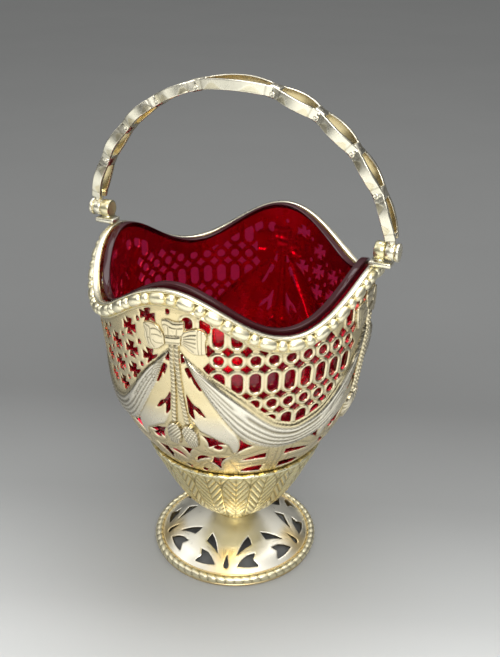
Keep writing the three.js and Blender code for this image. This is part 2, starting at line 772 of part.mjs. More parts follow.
// The liner follows the bowl inside, with a thick rounded edge that stands a little above the silver
const linerRowShares = [0.12, 0.32, 0.6];
function glassLiner() {
  const azimuths = evenAzimuths(linerSides);
  const topZ = (azimuth) => rimZ(azimuth) + linerStand;
  const edgeZ = (azimuth) => topZ(azimuth) - linerEdge;
  const cornerHeight = linerBottomHeight + linerFloor;
  const bowlInside = (height) => bowlOuterRadius(height) - bowlWall - linerGap;
  const rimPull = bowlInside(rimHeight) - linerRimRadius;
  const outerRadius = (share, height) => bowlInside(height) - rimPull * share;
  const rowZ = (share) => (azimuth) => cornerHeight + share * (edgeZ(azimuth) - cornerHeight);
  const ring = (heightAt, radiusAt) => azimuths.map((a) => at(a, radiusAt(heightAt(a)), heightAt(a)));
  const shares = [0, ...linerRowShares, 1];
  const outer = shares.map((share) => ring(rowZ(share), (height) => outerRadius(share, height)));
  const wallAt = (share) => linerWall + (linerRimWall - linerWall) * share;
  const inner = shares.slice(1).map((share) => ring(rowZ(share), (height) => outerRadius(share, height) - wallAt(share)));
  const bottomRadius = bowlInside(linerBottomHeight) - linerFloor;
  const shoulderHeight = linerBottomHeight + linerEdge;
  const shoulderRadius = bowlInside(shoulderHeight) - linerEdge;
  const edgeInset = linerEdge / 2;
  const rings = [
    ring(() => linerBottomHeight, () => bottomRadius),
    ring(() => shoulderHeight, () => shoulderRadius),
    ...outer,
    ring(topZ, () => linerRimRadius - edgeInset),
    ring(topZ, () => linerRimRadius - linerRimWall + edgeInset),
    ...inner.reverse(),
    ring(() => cornerHeight, () => bottomRadius - linerWall),
  ];
  return skinRings(rings, false);
}

// Heights and places along X of the hinge's stack, worked out from the rim upwards and from inside outwards
const plateBottomHeight = rimZ(quarter) + seatGap;
const plateTopHeight = plateBottomHeight + plateThickness;
const hingeHeight = plateTopHeight + seatGap + knuckleRadius;
const handleKnuckleStart = hingeInnerReach + fixedKnuckleLength + seatGap;
const pinHeadStart = handleKnuckleStart + handleKnuckleLength + seatGap;
const plateStart = hingeInnerReach - 1.5 * seatGap - stripOverhang;
const handleMiddle = handleKnuckleStart + handleKnuckleLength / 2;
const archHeight = hingeHeight - archDrop;

// Turns a shape drawn in (y, z) around the hinge axis into a body along X, on the right or the left side
function alongHinge(shape, start, length, side) {
  const body = new THREE.ExtrudeGeometry(shape, { depth: length, bevelEnabled: false });
  body.applyMatrix4(new THREE.Matrix4().makeBasis(
    new THREE.Vector3(0, 1, 0),
    new THREE.Vector3(0, 0, 1),
    new THREE.Vector3(1, 0, 0),
  ));
  const from = side > 0 ? start : -start - length;
  body.translate(from, 0, hingeHeight);
  return body;
}

function circlePoints(radius, from, to, steps) {
  return Array.from({ length: steps + 1 }, (_, i) => {
    const angle = from + ((to - from) * i) / steps;
    return new THREE.Vector2(radius * Math.cos(angle), radius * Math.sin(angle));
  });
}

const boreHole = () => new THREE.Path(circlePoints(boreRadius, 0, fullTurn, knuckleSides).slice(0, -1));

// The fixed knuckle stands on a foot that spreads to both sides
const knuckleFootAngle = -35 * degree;
function fixedKnuckle(side) {
  const round = circlePoints(knuckleRadius, knuckleFootAngle, fullTurn / 2 - knuckleFootAngle, knuckleSides - 4);
  const foot = [
    new THREE.Vector2(-knuckleFootWidth / 2 - seatGap, -knuckleRadius),
    new THREE.Vector2(knuckleFootWidth / 2 + seatGap, -knuckleRadius),
  ];
  const shape = new THREE.Shape([...round, ...foot]);
  shape.holes.push(boreHole());
  return alongHinge(shape, hingeInnerReach, fixedKnuckleLength, side);
}

function handleKnuckle(side) {
  const shape = new THREE.Shape(circlePoints(handleKnuckleRadius, 0, fullTurn, knuckleSides).slice(0, -1));
  shape.holes.push(boreHole());
  return alongHinge(shape, handleKnuckleStart, handleKnuckleLength, side);
}

// The pin: a shank through both knuckles with a flat round head outside
function pivotPin(side) {
  const start = hingeInnerReach + seatGap;
  const pin = lathe([
    [0, start],
    [pinRadius, start],
    [pinRadius, pinHeadStart],
    [pinHeadRadius, pinHeadStart],
    [pinHeadRadius, pinHeadStart + pinHeadLength],
    [0, pinHeadStart + pinHeadLength],
  ], knuckleSides);
  pin.rotateY(side * quarter);
  pin.translate(0, 0, hingeHeight);
  return pin;
}

function hingePlate(side) {
  const plate = new THREE.BoxGeometry(plateLength, plateWidth, plateThickness);
  plate.translate(side * (plateStart + plateLength / 2), 0, (plateBottomHeight + plateTopHeight) / 2);
  return plate;
}

// The handle's arch, from a share of the quarter arch on the right (0) over the crown (1) to the left (2)
function archPoint(angle) {
  return new THREE.Vector3(archHalfWidth * Math.cos(angle), 0, archHeight + archRise * Math.sin(angle));
}
function archOutwards(angle) {
  return new THREE.Vector3(Math.cos(angle) / archHalfWidth, 0, Math.sin(angle) / archRise).normalize();
}

// Where the loops of the handle meet, as shares of the quarter arch, and each loop's half width
const junctionShares = [0.297, 0.473, 0.658, 0.843];
const loopHalfWidths = [2.9, 3.5, 4.1, 4.5, 4.9];
const loopFullness = 0.75;

// One of the two rails of a loop, a flat band that bows out sideways between two junctions
function loopRail(from, to, halfWidth, side) {
  const rings = [];
  for (let i = 0; i <= railSteps; i += 1) {
    const share = i / railSteps;
    const angle = from + share * (to - from);
    const bulge = Math.sin(share * Math.PI) ** loopFullness;
    const across = side * (railMeeting + (halfWidth - railMeeting) * bulge);
    const centre = archPoint(angle);
    const out = archOutwards(angle).multiplyScalar(railHeight / 2);
    const half = new THREE.Vector3(0, railWidth / 2, 0);
    const middle = centre.clone().setY(across);
    rings.push([
      middle.clone().add(out).add(half),
      middle.clone().add(out).sub(half),
      middle.clone().sub(out).sub(half),
      middle.clone().sub(out).add(half),
    ]);
  }
  return skinRings(rings, false);
}

// The neck that joins the last loop to its knuckle
function handleNeck(side) {
  const start = archPoint(archEndAzimuth);
  const bottom = hingeHeight + handleKnuckleRadius + seatGap;
  const ring = (x, z, width, thickness) => [
    new THREE.Vector3(side * (x + thickness / 2), width / 2, z),
    new THREE.Vector3(side * (x + thickness / 2), -width / 2, z),
    new THREE.Vector3(side * (x - thickness / 2), -width / 2, z),
    new THREE.Vector3(side * (x - thickness / 2), width / 2, z),
  ];
  return skinRings([
    ring(handleMiddle, bottom, neckWidth, neckThickness),
    ring(start.x, start.z + railHeight, neckWidth, neckThickness),
  ], false);
}

function handleStrap() {
  const stops = [archEndAzimuth, ...junctionShares.map((share) => share * quarter)];
  const loops = [];
  for (let i = 0; i < stops.length - 1; i += 1) {
    loops.push([stops[i], stops[i + 1], loopHalfWidths[i]]);
    loops.push([2 * quarter - stops[i + 1], 2 * quarter - stops[i], loopHalfWidths[i]]);
  }
  const last = stops[stops.length - 1];
  loops.push([last, 2 * quarter - last, loopHalfWidths[stops.length - 1]]);
  const pieces = loops.flatMap(([from, to, halfWidth]) => [1, -1].map((side) => loopRail(from, to, halfWidth, side)));
  for (const stop of stops.slice(1)) {
    for (const angle of [stop, 2 * quarter - stop]) {
      const bead = new THREE.SphereGeometry(junctionRadius, 8, 4);
      const centre = archPoint(angle);
      bead.translate(centre.x, centre.y, centre.z);
      pieces.push(bead);
    }
  }
  pieces.push(handleNeck(-1));
  return fromSolid(addAll(toSolid(handleNeck(1)), pieces));
}

addPiece('body_shell', bowlShell(), gilt);
addPiece('rim_strip', rimStrip(), paleGilt);
addPiece('bead_border', beadBorder(), gilt);
addPiece('leaf_calyx', leafCalyx(), gilt);
addPiece('stem_collar', stemCollar(), gilt);
addPiece('foot_shell', footShell(), gilt);
addPiece('foot_rope_border', ropeBorder(), gilt);
addPiece('glass_liner', glassLiner(), ruby);
for (const [word, side] of [['left', -1], ['right', 1]]) {
  addPiece(`hinge_plate_${word}`, hingePlate(side), paleGilt);
  addPiece(`fixed_knuckle_${word}`, fixedKnuckle(side), paleGilt);
  addPiece(`pivot_pin_${word}`, pivotPin(side), paleGilt);
  addPiece(`handle_knuckle_${word}`, handleKnuckle(side), paleGilt);
}
addPiece('handle_strap', handleStrap(), gilt);

export default basket;
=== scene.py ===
"""Looks of the sugar basket: pierced and chased silver gilt, a swing handle and a ruby glass liner."""
import math

import bpy
import numpy as np
from mathutils import Matrix, Vector


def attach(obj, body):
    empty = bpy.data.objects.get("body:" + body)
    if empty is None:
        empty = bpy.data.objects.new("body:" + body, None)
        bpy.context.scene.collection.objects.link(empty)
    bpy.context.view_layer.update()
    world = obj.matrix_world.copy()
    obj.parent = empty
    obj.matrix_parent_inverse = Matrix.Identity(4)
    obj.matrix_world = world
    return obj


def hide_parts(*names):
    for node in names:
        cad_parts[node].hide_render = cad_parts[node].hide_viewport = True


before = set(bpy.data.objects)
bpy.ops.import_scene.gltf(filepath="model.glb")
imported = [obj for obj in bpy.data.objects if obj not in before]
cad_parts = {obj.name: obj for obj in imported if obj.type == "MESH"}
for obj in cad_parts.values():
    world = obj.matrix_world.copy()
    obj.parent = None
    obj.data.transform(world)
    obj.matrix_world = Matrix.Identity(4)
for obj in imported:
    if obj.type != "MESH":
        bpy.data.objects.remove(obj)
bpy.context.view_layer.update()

# Sizes are in millimetres in the object's own frame, but the lamps' and the floor's are in metres. Azimuths
# run from -Y towards +X
MM = 0.001
DEGREE = math.pi / 180
TURN = 2 * math.pi

rim_height, rim_wave, rim_front_lift = 114.8, 6.9, 0.5
calyx_bottom, calyx_top, calyx_wall, calyx_play = 16.7, 48.8, 1.4, 0.3
bowl_radius, bowl_wall, bowl_floor = 47.2, 1.0, 18.4

# The whole pattern's turn about the axis in degrees, and those of the rings and crosses within it
pattern_turn, trellis_turn, cross_turn = 1.3, -0.4, -1.3
trellis_middle = 100.6
border_drop = 5.6
hinge_height = 126.4

# Profiles as shares: [height, radius] for the calyx and the bowl, and [radius, height] for the foot's dome
calyx_shares = [[0, 0.203], [0.023, 0.282], [0.064, 0.371], [0.115, 0.449], [0.166, 0.511],
                [0.217, 0.563], [0.268, 0.615], [0.327, 0.678]]
bowl_shares = [[0.327, 0.639], [0.38, 0.722], [0.441, 0.802], [0.503, 0.862], [0.564, 0.903],
               [0.645, 0.936], [0.747, 0.966], [0.849, 0.988], [0.971, 0.998], [1.08, 1]]
foot_shares = [[0, 1], [0.33, 0.73], [0.58, 0.54], [0.82, 0.3], [1, 0]]
foot_neck, foot_dome, foot_shoulder, foot_top = 7.8, 27.8, 3.4, 13.3


def smooth_curve(points, x):
    """A smooth curve through [x, y] points, read at any x"""
    xs, ys = np.array(points, float).T
    slope = np.empty_like(ys)
    slope[1:-1] = (ys[2:] - ys[:-2]) / (xs[2:] - xs[:-2])
    slope[0] = (ys[1] - ys[0]) / (xs[1] - xs[0])
    slope[-1] = (ys[-1] - ys[-2]) / (xs[-1] - xs[-2])
    x = np.clip(x, xs[0], xs[-1])
    i = np.clip(np.searchsorted(xs, x, side="right") - 1, 0, len(xs) - 2)
    span = xs[i + 1] - xs[i]
    t = (x - xs[i]) / span
    u = 1 - t
    pull = span * t * u * (slope[i] * u - slope[i + 1] * t)
    return ys[i] * u * u * (1 + 2 * t) + ys[i + 1] * t * t * (3 - 2 * t) + pull


span = rim_height - calyx_bottom
calyx_points = [[calyx_bottom + h * span, r * bowl_radius] for h, r in calyx_shares]
bowl_points = [[calyx_bottom + h * span, r * bowl_radius] for h, r in bowl_shares]
foot_points = [[foot_neck + r * (foot_dome - foot_neck), foot_shoulder + z * (foot_top - foot_shoulder)]
               for r, z in foot_shares]


def rim_z(azimuth):
    return rim_height + rim_wave * np.cos(4 * azimuth) + rim_front_lift * np.cos(2 * azimuth)


def calyx_r(height):
    return smooth_curve(calyx_points, height)


def bowl_r(height):
    height = np.asarray(height, float)
    inside_calyx = calyx_r(height) - calyx_wall - calyx_play
    return np.where(height > calyx_top, smooth_curve(bowl_points, height), inside_calyx)


def polar(azimuth, radius, height):
    azimuth, radius, height = np.broadcast_arrays(azimuth, radius, height)
    return np.stack([radius * np.sin(azimuth), -radius * np.cos(azimuth), height], axis=-1)


def ease(x):
    x = np.clip(x, 0, 1)
    return x * x * (3 - 2 * x)


def soft_line(gap, width, centre=0.0):
    """1 where the gap is at its centre, and falling to 0 within about two widths"""
    return np.exp(-((gap - centre) / width) ** 2)


# Meshes

def looks(count, patina, tone):
    """What the gilt's material reads at each point: grime in the recesses and painted shade, and paleness of
    rubbed places and painted highlights
    """
    return {"patina": np.broadcast_to(patina, count), "tone": np.broadcast_to(tone, count)}


def add_mesh(name, points, faces, materials, nodes, layers=None, face_material=None, body="basket"):
    """Makes a piece from points in millimetres and lists of faces, and ties it to the frame"""
    mesh = bpy.data.meshes.new(name)
    polygons = [polygon for group in faces for polygon in np.asarray(group).tolist()]
    mesh.from_pydata((np.asarray(points) * MM).tolist(), [], polygons)
    mesh.polygons.foreach_set("use_smooth", np.ones(len(mesh.polygons), bool))
    for material in materials:
        mesh.materials.append(material)
    if face_material is not None:
        mesh.polygons.foreach_set("material_index", np.asarray(face_material, np.int32))
    for layer, values in (layers or {}).items():
        data = mesh.attributes.new(layer, "FLOAT", "POINT").data
        data.foreach_set("value", np.array(values, np.float32))
    mesh.update()
    piece = bpy.data.objects.new(name, mesh)
    bpy.context.scene.collection.objects.link(piece)
    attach(piece, body)
    if nodes:
        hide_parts(*nodes)


def skin(rings, loops=False):
    """Points and faces of a skin over closed rings, which ends in two caps or runs round to its start"""
    rings = np.asarray(rings, float)
    count, around = rings.shape[:2]
    index = np.arange(count * around).reshape(count, around)
    a = index if loops else index[:-1]
    b = np.roll(index, -1, axis=0) if loops else index[1:]
    quads = np.stack([a, np.roll(a, -1, axis=1), np.roll(b, -1, axis=1), b], axis=-1).reshape(-1, 4)
    faces = [quads]
    if not loops:
        faces += [[index[0][::-1].tolist()], [index[-1].tolist()]]
    return rings.reshape(-1, 3), faces


def joined(parts):
    """One list of points and faces from several"""
    points, faces, start = [], [], 0
    for some_points, some_faces in parts:
        points.append(some_points)
        faces += [np.asarray(group) + start for group in some_faces]
        start += len(some_points)
    return np.concatenate(points), faces


def rounded_rings(profile, sides, axis="z"):
    """Rings of a turned shape from [along, radius] points"""
    angles = np.arange(sides) / sides * TURN
    along, radius = np.array(profile, float).T
    x = radius[:, None] * np.cos(angles)
    y = radius[:, None] * np.sin(angles)
    z = np.broadcast_to(along[:, None], x.shape)
    order = {"z": (x, y, z), "x": (z, x, y)}[axis]
    return np.stack(order, axis=-1)


def round_box(centre, size, edge, axes=np.eye(3)):
    """A block with rounded edges: `axes` are its own three directions"""
    half = np.array(size, float) / 2
    corner = np.array([[1, 1 - edge / half[1]], [1 - 0.3 * edge / half[0], 1 - 0.3 * edge / half[1]],
                       [1 - edge / half[0], 1]])
    outline = np.concatenate([corner, (corner * [-1, 1])[::-1], corner * [-1, -1], (corner * [1, -1])[::-1]])
    rings = []
    small, level = 1 - edge / half[0], 1 - edge / half[2]
    for up, shrink in ((-1, small), (-level, 1), (level, 1), (1, small)):
        rings.append(np.column_stack([outline * half[:2] * shrink, np.full(len(outline), up * half[2])]))
    return skin(np.array(rings) @ np.array(axes) + centre)


def grid_cut(metal):
    """Clips the cells of a grid, closed around the axis, where `metal` turns negative.
    Returns the corners as (row, column, next row, next column, share), the faces and the cut edges"""
    rows, cols = metal.shape
    solid = metal > 0
    number = np.full((rows, cols), -1)
    number[solid] = np.arange(solid.sum())
    i, j = np.nonzero(solid)
    corners = [np.column_stack([i, j, i, j, np.zeros(len(i))])]
    total = len(i)

    def crossings(neighbour, rows_on, cols_on):
        nonlocal total
        cut = solid[:len(neighbour)] != (neighbour > 0)
        ids = np.full(cut.shape, -1)
        ids[cut] = total + np.arange(cut.sum())
        total += int(cut.sum())
        i, j = np.nonzero(cut)
        share = metal[i, j] / (metal[i, j] - neighbour[i, j])
        corners.append(np.column_stack([i, j, i + rows_on, j + cols_on, share]))
        return ids

    across = crossings(np.roll(metal, -1, axis=1), 0, 1)
    along = crossings(metal[1:], 1, 0)
    ids = {
        "a": number[:-1], "b": np.roll(number, -1, axis=1)[:-1],
        "c": np.roll(number, -1, axis=1)[1:], "d": number[1:],
        "ab": across[:-1], "cd": across[1:], "da": along, "bc": np.roll(along, -1, axis=1),
    }
    code = (ids["a"] >= 0) + 2 * (ids["b"] >= 0) + 4 * (ids["c"] >= 0) + 8 * (ids["d"] >= 0)
    shapes = {
        1: ["a ab da"], 2: ["b bc ab"], 4: ["c cd bc"], 8: ["d da cd"], 3: ["a b bc da"], 6: ["b c cd ab"],
        12: ["c d da bc"], 9: ["d a ab cd"], 5: ["a ab da", "c cd bc"], 10: ["b bc ab", "d da cd"],
        7: ["a b c cd da"], 14: ["b c d da ab"], 13: ["c d a ab bc"], 11: ["d a b bc cd"], 15: ["a b c d"],
    }
    faces, edges = [], []
    for which, polygons in shapes.items():
        here = code == which
        for polygon in polygons:
            names = polygon.split()
            faces.append(np.column_stack([ids[name][here] for name in names]))
            for first, second in zip(names, names[1:] + names[:1]):
                if len(first) == 2 and len(second) == 2:
                    edges.append(np.column_stack([ids[first][here], ids[second][here]]))
    for row, first, second in ((0, "a", "b"), (-1, "c", "d")):
        pair = np.column_stack([ids[first][row], ids[second][row]])
        edges.append(pair[(pair >= 0).all(axis=1)])
    return np.concatenate(corners), faces, np.concatenate(edges)


def sampled(corners, values):
    """Values of a grid at the corners that grid_cut returned"""
    rows, cols = values.shape
    i, j, k, m = (corners[:, n].astype(int) for n in range(4))
    share = corners[:, 4]
    return values[i, j % cols] * (1 - share) + values[k % rows, m % cols] * share


def sheet_mesh(metal, chart, outer_at, inner_at, lift, under, patina, tone, edge_roll, inner_shade, wall_shade):
    """A pierced sheet: an outer and an inner face, and walls round every hole. `lift` and `under` raise the
    two faces, and `edge_roll` lowers the outer one at the holes"""
    corners, faces, edges = grid_cut(metal)
    azimuth = chart.signed(corners[:, 1] * (1 - corners[:, 4]) + corners[:, 3] * corners[:, 4]) * chart.step
    row = corners[:, 0] * (1 - corners[:, 4]) + corners[:, 2] * corners[:, 4]
    place = np.interp(row, np.arange(len(chart.second)), chart.second)
    cut = (corners[:, 4] > 0) * edge_roll
    outer = outer_at(azimuth, place, sampled(corners, lift) - cut)
    inner = inner_at(azimuth, place, sampled(corners, under))
    rim = np.unique(edges)
    count, on_rim = len(corners), len(rim)
    place_on_rim = np.full(count, -1)
    place_on_rim[rim] = np.arange(on_rim)
    top, low = place_on_rim[edges] + 2 * count, place_on_rim[edges] + 2 * count + on_rim
    walls = np.column_stack([top[:, 1], top[:, 0], low[:, 0], low[:, 1]])
    points = np.concatenate([outer, inner, outer[rim], inner[rim]])
    all_faces = faces + [group[:, ::-1] + count for group in faces] + [walls]
    darkening, pale = sampled(corners, patina), sampled(corners, tone)
    # The inner face and the walls of the holes take painted shade
    behind = sampled(corners, inner_shade)
    darkening = np.concatenate([darkening, behind, np.full(on_rim, wall_shade), behind[rim]])
    pale = np.concatenate([pale, pale * 0.3, pale[rim], pale[rim] * 0.3])
    return points, all_faces, looks(len(points), darkening, pale)


def round_sheet(radius_at, inwards=0.0):
    """Places on a round sheet: on its outer face, or `inwards` of it on the inner one"""
    return lambda azimuth, height, out: polar(azimuth, radius_at(height) + out - inwards, height)


# Signed distances to figures, negative inside

def long_hole(u, v, width, height):
    straight = max(height - width, 0) / 2
    return np.hypot(u, np.maximum(np.abs(v) - straight, 0)) - width / 2


def stroke_gap(u, v, line):
    gaps = []
    for (x0, y0), (x1, y1) in zip(line, line[1:]):
        dx, dy = x1 - x0, y1 - y0
        t = np.clip(((u - x0) * dx + (v - y0) * dy) / (dx * dx + dy * dy + 1e-12), 0, 1)
        gaps.append(np.hypot(u - x0 - t * dx, v - y0 - t * dy))
    return np.minimum.reduce(gaps)


def polygon_gap(u, v, corners):
    best = stroke_gap(u, v, corners + corners[:1])
    inside = np.zeros(u.shape, bool)
    for (x0, y0), (x1, y1) in zip(corners, corners[1:] + corners[:1]):
        if y0 != y1:
            inside ^= ((y0 > v) != (y1 > v)) & (u < x0 + (v - y0) * (x1 - x0) / (y1 - y0))
    return np.where(inside, -best, best)


def bowed(corners, steps=5):
    """Corners [x, y, bow]: the edge that starts there bows outwards by that share of its length"""
    area = sum(a[0] * b[1] - b[0] * a[1] for a, b in zip(corners, corners[1:] + corners[:1]))
    outline = []
    for (x0, y0, bow), (x1, y1, _) in zip(corners, corners[1:] + corners[:1]):
        for k in range(steps if bow else 1):
            t = k / steps
            off = math.copysign(4 * bow * t * (1 - t), bow * area)
            outline.append((x0 + (x1 - x0) * t + off * (y1 - y0), y0 + (y1 - y0) * t - off * (x1 - x0)))
    return outline


def curved(line, steps=5):
    """A smooth line through points"""
    t = np.arange(len(line))
    fine = np.linspace(0, len(line) - 1, steps * (len(line) - 1) + 1)
    x, y = (smooth_curve(np.column_stack([t, np.array(line, float)[:, k]]), fine) for k in (0, 1))
    return list(zip(x, y))


class Chart:
    """A grid of azimuths and a second coordinate on which figures are stamped"""

    def __init__(self, columns, second, radius_at, turn=0, step=None):
        self.columns, self.radius_at, self.turn = columns, radius_at, turn
        self.second = np.asarray(second, float)
        self.step = step or TURN / columns
        self.azimuth, self.place = np.meshgrid(self.signed(np.arange(columns)) * self.step, self.second)

    def signed(self, column):
        """Columns counted from the middle of the chart"""
        half = self.columns // 2
        return (column + half) % self.columns - half

    def field(self, value=0.0):
        return np.full(self.azimuth.shape, float(value))

    def window(self, degrees, place, half_width, half_height):
        """Indices of the cells around a place, and offsets from it in millimetres"""
        radius = float(self.radius_at(place))
        centre = (degrees + self.turn) * DEGREE
        rows = np.arange(*np.searchsorted(self.second, [place - half_height, place + half_height]))
        reach = half_width / radius
        first, last = (centre - reach) / self.step, (centre + reach) / self.step
        cols = np.arange(math.floor(first), math.ceil(last) + 1)
        u, v = np.meshgrid((cols * self.step - centre) * radius, self.second[rows] - place)
        return np.ix_(rows, cols % self.columns), u, v

    def stamp(self, field, degrees, place, figure, reach):
        block, u, v = self.window(degrees, place, *reach)
        field[block] = np.minimum(field[block], figure(u, v))

    def outline(self, field, base, side, corners, margin=3.0, line=False):
        """Stamps an outline given as [degrees from base, place, bow], mirrored where side is -1"""
        spots = np.array([corner[:2] for corner in corners], float)
        low, high = spots.min(axis=0), spots.max(axis=0)
        middle = (low + high) / 2
        radius = float(self.radius_at(middle[1]))
        local = [[(d - middle[0]) * DEGREE * radius, p - middle[1], *rest] for d, p, *rest in corners]
        reach = ((high[0] - low[0]) / 2 * DEGREE * radius + margin, (high[1] - low[1]) / 2 + margin)
        if line:
            path = curved(local)
            figure = lambda u, v: stroke_gap(side * u, v, path)
        else:
            shape = bowed([[*spot, 0][:3] for spot in local])
            figure = lambda u, v: polygon_gap(side * u, v, shape)
        self.stamp(field, base + side * middle[0], middle[1], figure, reach)


# Materials

def feed(tree, socket, value):
    """Sets a socket to a number, colour or direction, or links another node's output to it"""
    if isinstance(value, bpy.types.NodeSocket):
        tree.links.new(value, socket)
    else:
        socket.default_value = value


def material(name, build):
    """A material whose shader gets what `build` returns for each of its sockets"""
    made = bpy.data.materials.new(name)
    made.use_nodes = True
    tree = made.node_tree
    for socket, value in build(tree).items():
        feed(tree, tree.nodes["Principled BSDF"].inputs[socket], value)
    return made


def node(tree, kind, inputs=None, **settings):
    made = tree.nodes.new(kind)
    for key, value in settings.items():
        setattr(made, key, value)
    for key, value in (inputs or {}).items():
        feed(tree, made.inputs[key], value)
    return made


def noise(tree, scale, detail=4.0, rough=0.55):
    spots = node(tree, "ShaderNodeTexCoord").outputs["Object"]
    inputs = {"Vector": spots, "Scale": scale, "Detail": detail, "Roughness": rough}
    return node(tree, "ShaderNodeTexNoise", inputs).outputs[0]


def mixed(tree, share, first, second):
    """A colour between two others, each given as red, green and blue or as a node's output"""
    made = node(tree, "ShaderNodeMix", data_type="RGBA")
    for place, value in ((0, share), (6, first), (7, second)):
        feed(tree, made.inputs[place], (*value, 1) if isinstance(value, tuple) else value)
    return made.outputs[2]


def ranged(tree, value, low, high, to_low, to_high):
    return node(tree, "ShaderNodeMapRange", {"Value": value, "From Min": low, "From Max": high,
                                             "To Min": to_low, "To Max": to_high}).outputs[0]


def attribute(tree, name):
    return node(tree, "ShaderNodeAttribute", attribute_name=name).outputs["Fac"]


def gilt_metal(name, gold, warm, pale, roughness, bump=0.03):
    """Silver gilt: two golds that drift into each other, paler rubbed places and painted highlights, and
    grime in the recesses and painted shade
    """
    olive = (0.17, 0.135, 0.06)

    def build(tree):
        drift = ranged(tree, noise(tree, 38, 3), 0.35, 0.68, 0, 1)
        colour = mixed(tree, drift, gold, warm)
        colour = mixed(tree, attribute(tree, "tone"), colour, pale)
        specks = ranged(tree, noise(tree, 420, 5, 0.7), 0.62, 0.78, 0, 0.25)
        for darkening in (specks, attribute(tree, "patina")):
            colour = mixed(tree, darkening, colour, olive)
        haze = ranged(tree, noise(tree, 160, 6, 0.65), 0.3, 0.75, roughness * 0.8, roughness * 1.45)
        grain = {"Height": noise(tree, 900, 4), "Strength": bump, "Distance": 0.0004}
        relief = node(tree, "ShaderNodeBump", grain).outputs[0]
        return {"Base Color": colour, "Metallic": 1.0, "Roughness": haze, "Normal": relief}
    return material(name, build)


gilt = gilt_metal("silver_gilt", (0.86, 0.73, 0.43), (0.83, 0.67, 0.34), (0.91, 0.86, 0.73), 0.24)
bright_gilt = gilt_metal("silver_gilt_bright", (0.97, 0.89, 0.64), (0.95, 0.83, 0.52), (0.97, 0.93, 0.78),
                         0.26)
soft_gilt = gilt_metal("silver_gilt_soft", (0.99, 0.91, 0.64), (0.98, 0.87, 0.54), (0.99, 0.95, 0.76), 0.33)
foot_gilt = gilt_metal("silver_gilt_rubbed", (0.96, 0.78, 0.42), (0.94, 0.70, 0.32), (1.0, 0.96, 0.82), 0.33,
                       0.012)
calyx_gilt = gilt_metal("silver_gilt_yellow", (0.96, 0.82, 0.42), (0.94, 0.76, 0.32), (0.98, 0.92, 0.62),
                        0.27)


def ruby(tree, clearness=1.0):
    cloud = ranged(tree, noise(tree, 22, 2), 0.3, 0.7, 0, 1)
    return {"Base Color": mixed(tree, cloud, (0.93, 0.03, 0.15), (0.90, 0.022, 0.12)),
            "Transmission Weight": clearness, "IOR": 1.45,
            "Roughness": ranged(tree, noise(tree, 60, 3), 0.3, 0.7, 0.1, 0.16)}


def ruby_edge(tree):
    """The thick edge, so deep a red that no light comes through"""
    cloud = ranged(tree, noise(tree, 40, 3), 0.3, 0.7, 0, 1)
    return {"Base Color": mixed(tree, cloud, (0.035, 0.004, 0.007), (0.05, 0.006, 0.009)), "IOR": 1.38,
            "Roughness": ranged(tree, noise(tree, 90, 3), 0.3, 0.7, 0.06, 0.13)}


ruby_glass = material("ruby_glass", ruby)
ruby_outside = material("ruby_glass_outside", lambda tree: ruby(tree, 0.95))
ruby_rim = material("ruby_glass_edge", ruby_edge)

# The bowl: swags' edges as [degrees, height] from one bow to the next. The swag in the ring panels hangs
# a little off centre, as the real one does, and the one in the cross panels hangs evenly
leaning_upper = [[0, 104], [4, 100.8], [9.7, 96.9], [19.2, 91.5], [26.7, 86.8], [34.6, 80.8], [40.2, 77.3],
                 [48.5, 75.1], [55.2, 76.4], [61.7, 78.6], [68.2, 82.9], [78.9, 91.5], [85, 98], [90, 104]]
leaning_lower = [[0, 103], [2.1, 102.2], [4.4, 98.6], [7.6, 93.2], [10.3, 89.4], [12.1, 87], [14.5, 83.5],
                 [18.1, 78.8], [22, 74.4], [24.7, 71.7], [29.5, 68.6], [39.5, 65.5], [48.7, 64.9],
                 [58.6, 66.2], [65, 68.2], [71, 72], [77, 79], [82, 87.5], [86, 96], [90, 103]]
even_upper = [[0, 104], [4.5, 101], [7.5, 98.6], [12.1, 95.3], [18.1, 90.1], [22.2, 86.1], [27.2, 82.1],
              [33.6, 77.9], [45, 75.4]]
even_lower = [[0, 103], [2, 102.4], [4.9, 98], [9.2, 89.9], [13, 84.8], [18, 78.5], [25, 71.3], [32, 67.6],
              [45, 65]]
columns, row_step, far = 720, 0.45, 9
shown_from = calyx_top + 0.2
hidden_rows = np.linspace(bowl_floor, shown_from, 9)[:-1]
shown_rows = np.arange(shown_from, rim_height + rim_wave + 1, row_step)
chart = Chart(columns, np.concatenate([hidden_rows, shown_rows]), bowl_r, pattern_turn)
from_front = chart.azimuth / DEGREE - pattern_turn
degrees = from_front % 90
panel = (from_front // 90).astype(int) % 2
mirrored = 45 - np.abs(degrees - 45)
swag_top = np.where(panel == 0, smooth_curve(leaning_upper, degrees), smooth_curve(even_upper, mirrored))
swag_low = np.where(panel == 0, smooth_curve(leaning_lower, degrees), smooth_curve(even_lower, mirrored))
level = chart.place
below_border = rim_z(chart.azimuth) - border_drop - level
above_swag = level - swag_top
below_swag = swag_low - level
in_swag = np.minimum(-above_swag, -below_swag)

